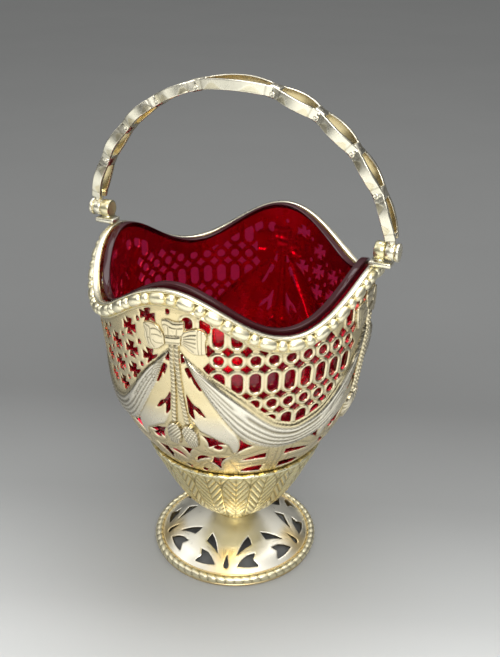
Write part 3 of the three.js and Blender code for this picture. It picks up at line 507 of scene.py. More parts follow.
# The bow, in millimetres around its knot, as [across, up, bow of the edge]
bow_height = 106.5
left_loop = [[-3, 0.4, 0], [-4.9, 3.1, 0.06], [-6.3, 3.8, 0.05], [-8.4, 3.9, 0.08], [-10.7, 2.9, -0.05],
             [-10.4, -1.3, 0], [-9.2, -4.5, 0.1], [-6.3, -4.9, 0.05], [-4.6, -4.0, 0], [-2.9, -2.4, 0]]
right_loop = [[2.8, 1.6, 0], [3.6, 3.0, 0.06], [7.3, 4.3, 0.08], [10.1, 3.5, 0.06], [10.6, 1.5, -0.06],
              [10.2, -1, 0], [10.3, -3.7, 0.04], [8.5, -4.3, 0.05], [6.1, -4.0, 0.05], [3.6, -2.1, 0],
              [2.5, -1.4, 0]]
knot = [[-2.9, 0.5, 0.04], [2.7, 1.3, 0], [2.4, -2, -0.05], [-2.7, -2.4, 0]]
ribbon = [[-3.1, 0.6, 0], [-3.2, 2.6, 0.05], [-3.8, 4.2, 0], [-3.8, 5.6, 0.1], [-1.3, 6.2, -0.08],
          [3.5, 6.3, 0.03], [3.3, 1.4, 0]]
bow_folds = [
    [[-7.9, 1.8], [-6.4, 2.4], [-4.7, 2.0], [-3.3, 0.5]],
    [[-7.7, 1.9], [-7.9, -0.5], [-7.8, -2.5], [-6.7, -4.2]],
    [[-7.3, 0.1], [-5.5, 0.5], [-3.7, 0]],
    [[-7, -1.7], [-5.6, -2.4], [-3.4, -2.1]],
    [[-10.1, 2.2], [-9.4, 0.2], [-9.2, -1.8], [-8.8, -3.6]],
    [[-9.8, 3], [-8.2, 2.6], [-7.8, 1.9]],
    [[-9.2, -1.6], [-8.5, -1.3], [-7.9, -1.6]],
    [[-2.8, 0.3], [-0.1, 0.6], [2.5, 1]],
    [[-2.7, -1.5], [-0.2, -1.3], [2.3, -0.9]],
    [[-3.7, 5.5], [-2.7, 5.9], [-1.2, 5.8], [0.4, 5.2], [3.4, 5.6]],
    [[-3.5, 4], [-2.2, 4.4], [-0.7, 3.9], [0.8, 3.7], [3.2, 4.1]],
    [[-1.6, 3.6], [-1.7, 0.8]],
    [[1.4, 3.7], [1, 1.2]],
    [[9.0, 3.9], [9.0, 1], [8.9, -4]],
    [[7.8, 4.1], [7.8, 0.5], [8.0, -4]],
    [[3.4, 0.6], [5.2, 1.2], [7.3, 1.3]],
    [[3.3, 0.1], [5.4, 0], [7.3, -0.1]],
    [[3.2, -0.5], [4.8, -1], [7.3, -1.8]],
    [[3.2, -1], [4.6, -1.9], [6.5, -3.4]],
    [[3.4, 1.2], [5.2, 2.3], [7.3, 2.7]],
]
left_folds = bow_folds[:7]

# Openings beside the cords and in the scroll register, as [degrees from the bow, height, bow of the edge]
slits = [
    [[2.1, 103, -0.02], [2.3, 97.6, 0.05], [3, 98.6, 0], [4.9, 98.6, 0.05]],
    [[3.6, 96.2, 0.1], [4.4, 97, 0.1], [5.5, 96.9, 0.05], [6.7, 95.6, 0], [7.8, 93, 0], [10.4, 88.6, 0],
     [8.6, 89.5, 0], [6.9, 91.7, 0], [6, 93.9, -0.1], [5.4, 92.6, 0]],
    [[3.2, 87.8, -0.04], [6.4, 83.4, 0], [8.8, 82.2, 0], [11.4, 79, 0.03], [8.5, 80.2, 0], [6.5, 82, -0.1],
     [6.1, 81.3, 0], [6.7, 77.4, 0.04], [4.1, 80, 0]],
]
register = [
    [[8.3, 71.3, -0.04], [13.5, 70.2, -0.03], [19.6, 67.7, -0.08], [14.5, 67.2, 0], [11.1, 65.8, -0.12]],
    [[13.4, 66.2, 0.25], [17.3, 66.6, 0.1], [17.4, 65.6, 0.2], [14, 65.4, 0.2]],
    [[24.7, 71.2, -0.12], [31.3, 67.1, -0.06], [23.8, 63.4, -0.1]],
    [[12.6, 60.9, -0.12], [20.4, 61.4, -0.14], [15.6, 53.3, 0], [14.6, 53.6, -0.1], [10.9, 57.1, -0.06]],
    [[2.9, 56.6, 0.16], [6.9, 60.9, 0.12], [10.9, 59.9, -0.12], [7.2, 59, -0.1]],
    [[4.2, 52.7, 0.05], [7.6, 51.8, -0.1], [5.6, 49.9, 0], [3.2, 50.6, 0]],
    [[25.6, 59.1, 0.05], [32, 61.4, 0.03], [38.3, 62.6, 0], [38.4, 59.9, -0.05], [31, 59.6, -0.03]],
    [[26.6, 52.6, 0.06], [31, 54.4, 0.03], [38.4, 55.2, 0], [37.8, 51.2, 0], [27, 51.3, 0.1]],
]
strip_lean = 3.4
under_tassels = [[-3.2, 63.8, -0.06], [3.2, 63.8, -0.1], [0, 59.3, -0.1]]
scroll_lines = [
    [[19.8, 66.2], [18.3, 63.7], [14.6, 63.2], [11.6, 64.2], [9.6, 66.6]],
    [[21.2, 64.6], [27, 62.4], [33, 64.2], [38.5, 65.1]],
    [[22.8, 62.2], [28, 62.5], [33, 64]],
    [[21.8, 56.5], [27, 56.6], [32, 57.4], [38.4, 57.9]],
    [[4.5, 64], [7, 62.8], [11, 62.2], [16, 62.8], [21, 63]],
    [[8.4, 56.3], [6.4, 55], [5.4, 53.6]],
    [[9.2, 58], [10.6, 55.2], [9.6, 52.6], [7.8, 50.8]],
    [[20.3, 59.3], [22.6, 56], [24.4, 52.4], [25.2, 50.2]],
    [[39, 65], [39, 50]],
    [[43.5, 64.4], [43.5, 50]],
]
plain_field = [[3.4, 88, 0], [8.6, 89, 0], [10.6, 88.2, 0], [13.2, 84.6, 0], [16.6, 80, 0], [20.6, 75.4, 0],
               [23.6, 72.4, 0], [24.8, 69.8, 0.06], [24.6, 65.4, 0.12], [23, 63.5, 0.12], [21.7, 65.4, 0],
               [20.4, 67.6, -0.03], [15, 70.2, -0.03], [8.6, 72.9, 0.03], [6.4, 75.4, 0], [3.4, 80, 0]]

# The ring panels: rows of long and round holes, each in a wire ring, with lozenges between the rings
rings, lozenges, crosses = (chart.field(far) for _ in range(3))
ring_column, ring_row, ring_bore, oval_width, oval_height = 360 / 52, 8.0, 3.2, 3.5, 6.9
for middle in (45 + trellis_turn, 225 + trellis_turn):
    for k in range(-4, 5):
        column = middle + k * ring_column
        border = rim_z(column * DEGREE) - border_drop
        for row in range(-3, 2):
            width, height = (oval_width, oval_height) if row % 2 else (ring_bore, ring_bore)
            z = trellis_middle + row * ring_row
            if z - border <= height * 0.1:
                chart.stamp(rings, column, z, lambda u, v: long_hole(u, v, width, height),
                            (5, height / 2 + 3))
    for k, z, height in ((-5.65, 112.1, 4.0), (-4.7, 111.7, 5.4), (4.7, 111.7, 5.4), (5.65, 112.1, 4.0)):
        chart.stamp(rings, middle + k * ring_column, z, lambda u, v: long_hole(u, v, 3.3, height), (4, 5))
    for k in range(-5, 5):
        for drop in (3.1, -3.1, -12.9, -19.1):
            if k in (-5, 4) and drop < -10:
                continue
            chart.stamp(lozenges, middle + (k + 0.5) * ring_column, trellis_middle + drop,
                        lambda u, v: (np.abs(u) / 2.05 + np.abs(v) / 2.4 - 1) * 1.5, (2.6, 2.8))
lozenges = np.maximum(lozenges, 1.42 - rings)

# The cross panels: rows of flared crosses with round holes between them
arm = [[0.72, 0.62], [1.62, 3.05], [0, 2.8], [-1.62, 3.05]]
cross = [(x * math.cos(t) - y * math.sin(t), x * math.sin(t) + y * math.cos(t))
         for t in np.arange(4) * TURN / 4 for x, y in arm]
for middle in (135 + cross_turn, 315 + cross_turn):
    for row in (112.1, 106, 98, 90, 82):
        for k in range(8):
            column = middle + (k - 3.5) * 10
            under_loop = k in (0, 7) and row == 106
            if not under_loop and rim_z(column * DEGREE) - border_drop - row > 0.4:
                chart.stamp(crosses, column, row, lambda u, v: polygon_gap(u, v, cross), (5.5, 5.5))
    for row in (110, 102, 94, 86):
        for k in range(7):
            chart.stamp(crosses, middle + (k - 3) * 10, row, lambda u, v: long_hole(u, v, 1.4, 1.7),
                        (2.5, 2.5))

scrolls, register_gap, slit_gap, field_gap = (chart.field(far) for _ in range(4))
cord_half = 0.85
tassel_across, tassel_height, tassel_lean = 2.78, 70.2, 0.14


def cord_middle(height):
    return smooth_curve([[74, 2.35], [80, 1.85], [86, 1.3], [92, 0.95], [98, 0.84], [104, 0.8]], height)


class RaisedWork:
    """Distances on a chart to the bows, their folds, cords and tassels"""

    def __init__(self, chart, bows):
        self.loops, self.knot, self.ribbon, self.folds, self.crumples = (chart.field(far) for _ in range(5))
        self.cord, self.tassel, self.over, self.along = (chart.field(far) for _ in range(4))
        self.twist, self.side = chart.field(), chart.field()
        for bow in bows:
            for target, shape in ((self.loops, left_loop), (self.loops, right_loop), (self.knot, knot),
                                  (self.ribbon, ribbon)):
                outline = bowed(shape)
                chart.stamp(target, bow, bow_height, lambda u, v: polygon_gap(u, v, outline), (13, 9))
            for fold in bow_folds:
                path = curved(fold)
                target = self.crumples if fold in left_folds else self.folds
                chart.stamp(target, bow, bow_height, lambda u, v: stroke_gap(u, v, path), (12, 8))
            for side in (1, -1):
                self.add_cord(chart, bow, side)
                self.add_tassel(chart, bow, side)
        self.bow = np.minimum.reduce([self.loops, self.knot, self.ribbon])
        self.all = np.minimum.reduce([self.bow, self.cord, self.tassel])

    def add_cord(self, chart, bow, side):
        middle = 90
        block, u, v = chart.window(bow, middle, 4.5, 14.6)
        height = v + middle
        offset = side * u * bowl_r(height) / bowl_r(middle) - cord_middle(height)
        gap = np.abs(offset) - cord_half
        near = gap < self.cord[block]
        strands = np.cos(TURN * (height / 1.5 + 0.42 * side * offset))
        self.twist[block] = np.where(near, strands, self.twist[block])
        self.cord[block] = np.minimum(self.cord[block], gap)

    def add_tassel(self, chart, bow, side):
        radius = float(bowl_r(tassel_height))
        block, u, v = chart.window(bow + side * tassel_across / radius / DEGREE, tassel_height, 4.4, 6)
        tilt = side * tassel_lean
        along, over = v * math.cos(tilt) - u * math.sin(tilt), u * math.cos(tilt) + v * math.sin(tilt)
        width = np.interp(along, [-4.8, -3.6, -1, 1.4, 3, 4, 4.6, 4.9],
                          [1.3, 2.0, 2.5, 2.7, 2.3, 1.65, 0.9, 0.3])
        gap = np.maximum(np.abs(over) - width, np.abs(along) - 4.8)
        here = gap < self.tassel[block]
        for field, value in ((self.over, over), (self.along, along), (self.side, side)):
            field[block] = np.where(here, value, field[block])
        self.tassel[block] = np.minimum(self.tassel[block], gap)


for bow in (0, 90, 180, 270):
    for side in (1, -1):
        for shape in slits:
            chart.outline(slit_gap, bow, side, shape)
        lean = strip_lean if side < 0 else 0
        for shape in register:
            leaning = [[d + lean * max(d - 25, 0) / 13.4, *rest] for d, *rest in shape]
            chart.outline(register_gap, bow, side, leaning)
        chart.outline(field_gap, bow, side, plain_field)
        for path in scroll_lines:
            chart.outline(scrolls, bow, side, path, line=True)
    chart.outline(register_gap, bow, 1, under_tassels)
    chart.stamp(crosses, bow - 2.2, 115.1, lambda u, v: long_hole(u, v, 1.4, 1.8), (3, 3))

on_sheet = RaisedWork(chart, (0, 90, 180, 270))
bow_gap, raised = on_sheet.bow, on_sheet.all
pattern = np.minimum.reduce([rings, lozenges, crosses])
pattern = np.maximum.reduce([pattern, 0.35 - below_border, 0.3 - above_swag, 0.1 - bow_gap])
open_work = np.maximum.reduce([np.minimum(register_gap, slit_gap), 0.1 - raised, in_swag * 0.7 + 0.05])
void = np.minimum(pattern, open_work)
sheet_top = rim_z(chart.azimuth) - 0.75 - level
metal = np.minimum(void, sheet_top)

# Relief of the outer face, the grime in its recesses and painted shade, and the paleness of rubbed places and
# painted highlights
lift, patina, tone = chart.field(), chart.field(), chart.field(0.12)
in_panel = ease(above_swag / 0.5) * ease(below_border / 0.5) * ease((bow_gap - 0.1) / 0.4)
wire = np.clip(1 - ((rings - 0.5) / 0.56) ** 2, 0, 1)
on_rings = (panel == 0) * (rings > 0) * in_panel
lift += 0.36 * wire * on_rings
# The wires' crowns are paler and their outer edges darker: rubbing and grime, with painted highlight and
# painted shade
tone += 0.25 * wire * on_rings
patina += 0.22 * soft_line(rings, 0.2, 1.12) * on_rings
for line_drop, depth in ((border_drop + 0.1, 0.3), (border_drop + 0.75, 0.16)):
    gap = np.abs(rim_z(chart.azimuth) - line_drop - level)
    lift += depth * soft_line(gap, 0.35)
    patina += 0.25 * soft_line(gap, 0.22, 0.5)

# The swags: a full belly, seven long folds and a plain band along the top
thickness = swag_top - swag_low
height_share = np.clip((level - swag_low) / thickness, 0, 1)
inside_swag = in_swag > 0
belly = np.sin(math.pi * height_share) ** 0.42
swag_lift = 1.4 * belly * ease(in_swag / 1.1)
from_bow = np.minimum(degrees, 90 - degrees)
swag_dirt_and_shade = chart.field()
swag_folds = [(0.22, 0.15, 3, 45, 0.34, 0.4), (0.4, 0.3, 0, 45, 0.42, 0.5), (0.56, 0.45, 2, 45, 0.4, 0.45),
              (0.72, 0.52, 0, 24.5, 0.4, 0.42), (0.7, 0.62, 26, 45, 0.45, 0.75), (0.9, 0.8, 0, 45, 0.38, 0.4),
              (0.97, 0.9, 8, 45, 0.2, 0.28)]
for near_bow, at_middle, starts, ends, depth, width in swag_folds:
    where = near_bow + (at_middle - near_bow) * ease(from_bow / 42)
    gap = (height_share - where) * thickness
    groove = soft_line(gap, width)
    if starts > 0:
        groove = groove * ease((from_bow - starts) / 3)
    if ends < 45:
        groove = groove * ease((ends - from_bow) / 3)
    swag_lift -= 1.3 * depth * groove
    # The grooves darken: grime in them and painted shade
    swag_dirt_and_shade += 1.1 * groove ** 2.4
plain_band = ease((height_share - (0.84 - 0.04 * ease(from_bow / 40))) * thickness / 0.5)
swag_lift -= 0.25 * plain_band
lift = np.where(inside_swag, swag_lift, lift)
patina = np.where(inside_swag, np.clip(swag_dirt_and_shade, 0, 0.8), patina)
tone = np.where(inside_swag, 0.95 - 0.8 * plain_band, tone)
# Painted shade on the sheet along the outside of the swags' edges
patina += np.where(~inside_swag, 0.15 * soft_line(in_swag, 0.5), 0)

# The scroll register below the swags, with its engraved lines and the plain field around the tassels
below = (level < swag_low) & ~inside_swag
band = ease(np.clip(register_gap, 0, 0.7) / 0.7)
in_register = ease((72 - level) / 3) * below
lift += np.where(below, 0.2 * band * in_register, 0)
# The scrolls' cut edges are paler: rubbed, and a painted highlight
tone += 0.5 * soft_line(register_gap, 0.35) * in_register
line = soft_line(scrolls, 0.28) * in_register
lift -= 0.15 * line
patina += 0.4 * line
in_field = ease((0.1 - field_gap) / 0.5) * below * ease((87 - level) / 10)
lift = lift * (1 - in_field) + 0.5 * in_field
tone = np.maximum(tone, 0.85 * in_field * ease((84 - level) / 12))
patina = patina * (1 - in_field)
patina += np.where(below, 0.45 * soft_line(field_gap, 0.22, 0.25), 0) * ease((78 - level) / 8)

# Under the bows, cords and tassels the sheet is plain, and its back follows all that is raised
covered = ease((0.1 - raised) / 0.4)
lift = lift * (1 - covered) - 0.15 * covered
patina += 0.3 * soft_line(raised, 0.3, 0.1)
lift -= 0.1 * (1 - ease(void / 0.45))
shown = ease((level - calyx_top - 0.3) / 0.6) * ease(sheet_top / 0.5)
lift *= shown
patina = np.clip(patina, 0, 0.85)
tone = np.clip(tone, 0, 1)

under = chart.field()
under += np.where(inside_swag, (belly - 0.45 * np.clip(swag_dirt_and_shade, 0, 1)) * ease(in_swag / 1.6), 0)
under = np.where(raised < 0.5, np.minimum(under, 0.1), under)
pressed = np.clip(soft_line(on_sheet.folds, 0.4) + soft_line(on_sheet.crumples, 0.4), 0, 1)
under_bow = 0.7 * ease(-bow_gap / 0.9) * (1 - 0.6 * pressed)
under_cord = 0.6 * ease(-on_sheet.cord / 0.6) * (0.75 + 0.25 * on_sheet.twist)
under = np.maximum.reduce([under, under_bow, under_cord, 0.7 * ease(-on_sheet.tassel / 1.2)]) * shown
# Painted shade on the inner face, darker away from the bows and towards the bottom
panel_shade = 0.36 - 0.32 * ease((24 - from_bow) / 8)
inner_shade = np.maximum(panel_shade, 0.8 * ease((80 - level) / 20))
bowl_faces = (round_sheet(bowl_r), round_sheet(bowl_r, bowl_wall))
points, faces, layers = sheet_mesh(metal, chart, *bowl_faces, lift, under, patina, tone, edge_roll=0.1,
                                   inner_shade=inner_shade, wall_shade=0.45)
bottom = polar(np.arange(0, columns, 12) * chart.step, float(bowl_r(bowl_floor)) - 0.2, bowl_floor + 0.4)
faces.append([list(range(len(points), len(points) + len(bottom)))])
points = np.concatenate([points, bottom])
layers = {key: np.concatenate([values, np.full(len(bottom), 0.2)]) for key, values in layers.items()}
add_mesh("pierced_bowl", points, faces, [gilt], ["body_shell"], layers)

# The bows with their cords and tassels, raised on the sheet: one finer mesh, turned to its four places
fine = Chart(224, np.arange(64.5, 113.6, 0.17), bowl_r, step=0.16 * DEGREE)
work = RaisedWork(fine, (0,))
fine_lift, fine_dirt_and_shade, fine_tone = fine.field(), fine.field(), fine.field(0.4)
fold_line = np.clip(soft_line(work.folds, 0.13) + 0.9 * soft_line(work.crumples, 0.15), 0, 1)
fan = 0.03 * np.cos(TURN * np.clip(work.folds, 0, 1.4) / 1.4)
for gap, height, edge in ((work.ribbon, 0.4, 0.3), (work.loops, 0.65, 0.4), (work.knot, 0.8, 0.4)):
    inside = gap < 0
    round_edge = np.sqrt(np.clip(1 - (1 - np.clip(-gap / edge, 0, 1)) ** 2, 0, 1))
    crown = 0.25 * ease(-gap / 3)
    fine_lift = np.where(inside, height * round_edge + crown - 0.12 * fold_line - fan, fine_lift)
    fine_dirt_and_shade = np.where(inside, 0.72 * fold_line + 0.4 * soft_line(gap, 0.13, -0.05), fine_dirt_and_shade)
inside = (work.cord < 0) & (work.knot > 0)
cord_arc = np.sqrt(np.clip(1 - (np.clip(work.cord + cord_half, 0, cord_half) / cord_half) ** 2, 0.02, 1))
fine_lift = np.where(inside, 0.95 * cord_arc + 0.12 * work.twist, fine_lift)
# Grime between the strands, and painted shade on the cord's rounded flanks
cord_dirt_and_shade = np.clip(0.25 - 0.45 * work.twist, 0, 0.6) + 0.3 * (1 - ease(cord_arc / 0.6))
fine_dirt_and_shade = np.where(inside, cord_dirt_and_shade, fine_dirt_and_shade)
inside = work.tassel < 0
slope_across, slope_along, stripe = 0.805, 0.59, 0.98
falling = np.cos(TURN * (work.over * slope_across - work.along * slope_along) / stripe)
rising = np.cos(TURN * (work.over * slope_across + work.along * slope_along) / stripe)
carved = np.where(work.side < 0, falling, np.minimum(falling, rising) + 0.35)
fringe = np.cos(TURN * work.over / 0.72)
skirt = ease((-0.9 - work.along) / 0.8)
carved = np.clip(carved * (1 - skirt) + 0.7 * fringe * skirt, -1, 1)
dome = np.sqrt(np.clip(1 - (work.over / 3.0) ** 2, 0, 1) * np.clip(1 - (work.along / 6.2) ** 2, 0, 1))
tassel_lift = (0.25 + 1.3 * dome + 0.14 * carved) * ease(-work.tassel / 0.35)
fine_lift = np.where(inside, tassel_lift, fine_lift)
tassel_dirt = np.clip(0.25 - 0.5 * carved, 0, 0.65) + 0.3 * soft_line(work.tassel, 0.15, -0.1)
fine_dirt_and_shade = np.where(inside, tassel_dirt, fine_dirt_and_shade)
fine_tone = np.where(inside, 0.7, fine_tone)
# The inner face and the walls of the holes take painted shade
points, faces, layers = sheet_mesh(-work.all, fine, *bowl_faces, fine_lift, fine.field(0.8),
                                   np.clip(fine_dirt_and_shade, 0, 0.85), fine_tone, edge_roll=0.05,
                                   inner_shade=fine.field(0.3), wall_shade=0.35)
for k in range(4):
    turn = Matrix.Rotation((90 * k + pattern_turn) * DEGREE, 3, "Z")
    add_mesh(f"bow_and_tassels_{k + 1}", points @ np.array(turn).T, faces, [gilt], [], layers)

# The calyx: 18 leaves in front, and 18 behind them of which only the tips show
leaf_pitch, leaf_point = 20.0, 9.5
leaf_chart = Chart(columns, np.arange(calyx_bottom, calyx_top + 0.1, 0.32), calyx_r)
leaf_level = leaf_chart.place
leaf_degrees = leaf_chart.azimuth / DEGREE - 45
leaf_r = calyx_r(leaf_level)


def leaf_gap(offset, tip):
    """Millimetres inside a leaf's outline, and across it from the midrib"""
    across = ((leaf_degrees - offset + leaf_pitch / 2) % leaf_pitch) - leaf_pitch / 2
    towards_tip = np.clip(leaf_level - tip + leaf_point, 0, None) / leaf_point
    narrowing = np.sqrt(np.clip(1 - towards_tip ** 2, 0, 1))
    half = 10.4 * narrowing * ease(0.62 + (leaf_level - calyx_bottom) / 30)
    return (half - np.abs(across)) * DEGREE * leaf_r, np.abs(across) * DEGREE * leaf_r


front_gap, front_across = leaf_gap(0, 48.3)
back_gap, back_across = leaf_gap(10, 48.8)
vein_pitch, vein_slope = 3.3, 1.6
leaf_lift, leaf_dirt_and_shade, leaf_tone = leaf_chart.field(-0.3), leaf_chart.field(0.1), leaf_chart.field(0.1)
for gap, across, base in ((back_gap, back_across, -0.1), (front_gap, front_across, 0.22)):
    inside = gap > 0
    edge_line = soft_line(gap, 0.17, 0.12)
    body = ease((gap - 0.35) / 0.4) * ease((across - 0.1) / 0.3) * ease((47.6 - leaf_level) / 1.2)
    phase = ((leaf_level - vein_slope * across) / vein_pitch) % 1
    from_groove = np.minimum(phase, 1 - phase)
    groove = soft_line(from_groove, 0.12) * body
    ridge = ease((from_groove - 0.12) / 0.3) * body
    rib_line = soft_line(across, 0.17)
    carved_lift = base + 0.2 * ridge - 0.06 * groove - 0.16 * edge_line - 0.1 * rib_line
    leaf_lift = np.where(inside, carved_lift, leaf_lift)
    # The chased lines are darker and the ridges paler: grime and rubbing, with painted shade and painted
    # highlight standing in for the relief
    leaf_dirt_and_shade = np.where(inside, 0.75 * groove + 0.8 * edge_line + 0.7 * rib_line, leaf_dirt_and_shade)
    leaf_tone = np.where(inside, 0.1 + 0.75 * ridge, leaf_tone)
# The lip's top is the palest: a painted highlight
lip = ease((leaf_level - 47.3) / 0.6)
leaf_lift = leaf_lift * (1 - lip) + lip * (0.1 - 0.8 * np.clip((leaf_level - 48) / 0.8, 0, 1) ** 2)
leaf_tone = leaf_tone * (1 - lip) + lip
leaf_dirt_and_shade = leaf_dirt_and_shade * (1 - lip)
mouth = leaf_chart.field() - 0.28 * ease((leaf_level - 47.2) / 1.2)
edge_wave = np.abs(leaf_degrees % 10 - 5) / 5
leaf_metal = calyx_top - 0.05 - 0.35 * (1 - edge_wave) ** 2 - leaf_level
leaf_faces = (round_sheet(calyx_r), round_sheet(calyx_r, calyx_wall))
# The inner face takes painted shade
points, faces, layers = sheet_mesh(leaf_metal, leaf_chart, *leaf_faces, leaf_lift, mouth,
                                   np.clip(leaf_dirt_and_shade, 0, 0.8), np.clip(leaf_tone, 0, 1), edge_roll=0.12,
                                   inner_shade=leaf_chart.field(0.7), wall_shade=0)
add_mesh("leaf_calyx_chased", points, faces, [calyx_gilt], ["leaf_calyx"], layers)

# The collar between the calyx and the foot: a small gadrooned ring
gadroons = 36
around = np.arange(gadroons * 8) / (gadroons * 8) * TURN
profile = [[13.35, 7.3], [13.5, 7.75], [13.9, 7.95], [14.3, 7.8], [14.45, 8.0], [14.7, 8.35], [15.0, 8.5],
           [15.3, 8.45], [15.6, 8.2], [15.8, 7.9], [16.1, 7.9], [16.4, 7.6]]
lobes = np.abs(np.cos(around * gadroons / 2))
rings_of_collar = []
for height, radius in profile:
    carve = 0.3 * ease(1 - abs(height - 15.1) / 0.9)
    rings_of_collar.append(polar(around, radius - carve * (1 - lobes), height))
points, faces = skin(rings_of_collar)
collar_dirt = np.concatenate([np.tile(0.55 * (1 - lobes) + 0.1, len(profile) - 1), np.full(len(around), 0.9)])
add_mesh("gadrooned_collar", points, faces, [calyx_gilt], ["stem_collar"],
         looks(len(points), collar_dirt, 0.1))

# The foot: five palmettes on a dome, as [degrees from the motif's middle, radius, bow]
motifs, first_motif, foot_wall = 5, 17.0, 1.0
wedge_opening = [[2.2, 25.3, 0.1], [1.4, 26.2, 0.1], [-1.4, 26.2, 0.1], [-2.2, 25.3, 0], [0, 21.5, 0]]
dart_openings = [
    [[26.3, 15.3, 0], [27, 17, 0], [26.8, 18.8, 0], [19.4, 19.7, 0], [13.5, 20.9, 0], [9, 22.2, 0],
     [11.6, 20.2, 0], [15.2, 18.2, 0], [19.6, 16.7, 0]],
    [[27.2, 22.0, 0], [23.6, 24.1, 0], [27.6, 26.3, 0], [19, 26.2, 0], [9.2, 25.7, 0], [13.6, 23.7, 0],
     [18.6, 22.4, 0]],
]
foot_engraving = [
    [[5.6, 23.4], [9, 21.8], [15, 21.3], [22, 20.6]],
    [[2.4, 20.4], [1.4, 23]],
    [[4.6, 20], [3.4, 22.4]],
]
foot_chart = Chart(480, np.linspace(foot_neck, foot_dome, 58), lambda radius: radius)
foot_gap, foot_lines = foot_chart.field(far), foot_chart.field(far)
for k in range(motifs):
    base = first_motif + k * 360 / motifs
    foot_chart.outline(foot_gap, base, 1, wedge_opening, 2)
    for side in (1, -1):
        for shape in dart_openings:
            foot_chart.outline(foot_gap, base, side, shape, 2)
        for path in foot_engraving:
            foot_chart.outline(foot_lines, base, side, path, 2, line=True)


def foot_normal(radius):
    slope = (smooth_curve(foot_points, radius + 0.05) - smooth_curve(foot_points, radius - 0.05)) / 0.1
    length = np.sqrt(1 + slope ** 2)
    return -slope / length, 1 / length


def foot_at(azimuth, radius, out):
    side, up = foot_normal(radius)
    return polar(azimuth, radius + out * side, smooth_curve(foot_points, radius) + out * up)


def foot_under(azimuth, radius, _):
    side, up = foot_normal(radius)
    height = smooth_curve(foot_points, radius) - foot_wall * up
    return polar(azimuth, np.maximum(radius - foot_wall * side, 6.4), height)


engraved = soft_line(foot_lines, 0.2)
foot_lift = -0.04 * engraved - 0.06 * (1 - ease(foot_gap / 0.4))
half_motif = 180 / motifs
from_motif = (foot_chart.azimuth / DEGREE - first_motif + half_motif) % (2 * half_motif) - half_motif
# Golder near each motif's middle and rubbed pale between: part wear, part a painted warm reflection
warm_patch = soft_line(from_motif, 13) * ease((foot_chart.place - 18) / 4)
# The inner face and the walls of the openings take painted shade
*dome, layers = sheet_mesh(foot_gap, foot_chart, foot_at, foot_under, foot_lift, foot_chart.field(),
                           0.3 * engraved, 1 - 0.95 * warm_patch, edge_roll=0.1,
                           inner_shade=foot_chart.field(0.85), wall_shade=0.3)
foot_stations = np.arange(360) / 360 * TURN
flange_section = [
    (26.7, 2.4), (27.1, 3.2), (27.8, 3.45), (28.15, 3.3), (28.2, 2.6), (28.15, 0.95), (29.9, 0.85),
    (30.2, 0.6), (30.25, 0.3), (30.15, 0.02), (26.8, 0.02), (26.65, 0.3), (26.65, 2.2),
]
neck_section = [(7.9, 13.2), (7.6, 13.32), (6.7, 13.3), (6.5, 12.6), (7.4, 12.5)]
flange, neck = (skin([polar(foot_stations, r, z) for r, z in section], loops=True)
                for section in (flange_section, neck_section))
points, faces = joined([dome, flange, neck])
extra = len(flange[0]) + len(neck[0])
layers = {key: np.concatenate([values, np.full(extra, 0.12)]) for key, values in layers.items()}
add_mesh("palmette_foot", points, faces, [foot_gilt], ["foot_shell"], layers)

# The rope border on the foot's flange
rope_lobes, rope_steps, rope_sides, rope_radius, rope_height = 60, 8, 14, 29.6, 2.4
stations = np.arange(rope_lobes * rope_steps) / (rope_lobes * rope_steps) * TURN
turns = np.arange(rope_sides) / rope_sides * TURN
along, across = np.meshgrid(stations, turns, indexing="ij")
groove = np.abs(np.sin((rope_lobes * along + across) / 2))
rope = 1.27 + 0.26 * groove ** 0.5
points, faces = skin(polar(along, rope_radius + rope * np.cos(across), rope_height + rope * np.sin(across)),
                     loops=True)
groove = groove.ravel()
add_mesh("rope_border", points, faces, [soft_gilt], ["foot_rope_border"],
         looks(len(points), 0.85 * (1 - groove) ** 4, 0.2 * groove))

# The rim: a flat bright strip, and a channel with long and round beads below it
rim_stations = np.arange(480) / 480 * TURN


def along_rim(section):
    """A band that follows the rim's wave, from [radius, height above the rim] points"""
    radius, above = np.array(section).T
    points, faces = skin([polar(a, radius, rim_z(a) + above) for a in rim_stations], loops=True)
    return points, [group[:, ::-1] for group in faces]


points, faces = along_rim([[46.32, -0.55], [46.3, -0.12], [46.42, 0], [47.2, 0.0], [48.05, 0], [48.2, -0.12],
                           [48.2, -0.5], [48.08, -0.64], [46.42, -0.65]])
add_mesh("bright_rim_strip", points, faces, [bright_gilt], ["rim_strip"], looks(len(points), 0, 0.7))

channel = along_rim([[47.36, -0.72], [48.05, -0.72], [48.3, -0.8], [48.3, -0.98], [48.05, -1.1],
                     [47.75, -1.25], [47.6, -2.0], [47.6, -3.9], [47.7, -4.6], [47.95, -4.8], [48.1, -5.0],
                     [48.0, -5.2], [47.8, -5.3], [47.6, -5.5], [47.36, -5.55]])
bead_radius, bead_drop, bead_sides, trace_radius = 48.28, 2.62, 14, 48.2
samples = np.linspace(0, TURN, 2881)
trace = polar(samples, trace_radius, rim_z(samples))
run = np.concatenate([[0], np.cumsum(np.linalg.norm(np.diff(trace, axis=0), axis=1))])
pairs, bead_start = 36, 0.16
pitch = run[-1] / pairs


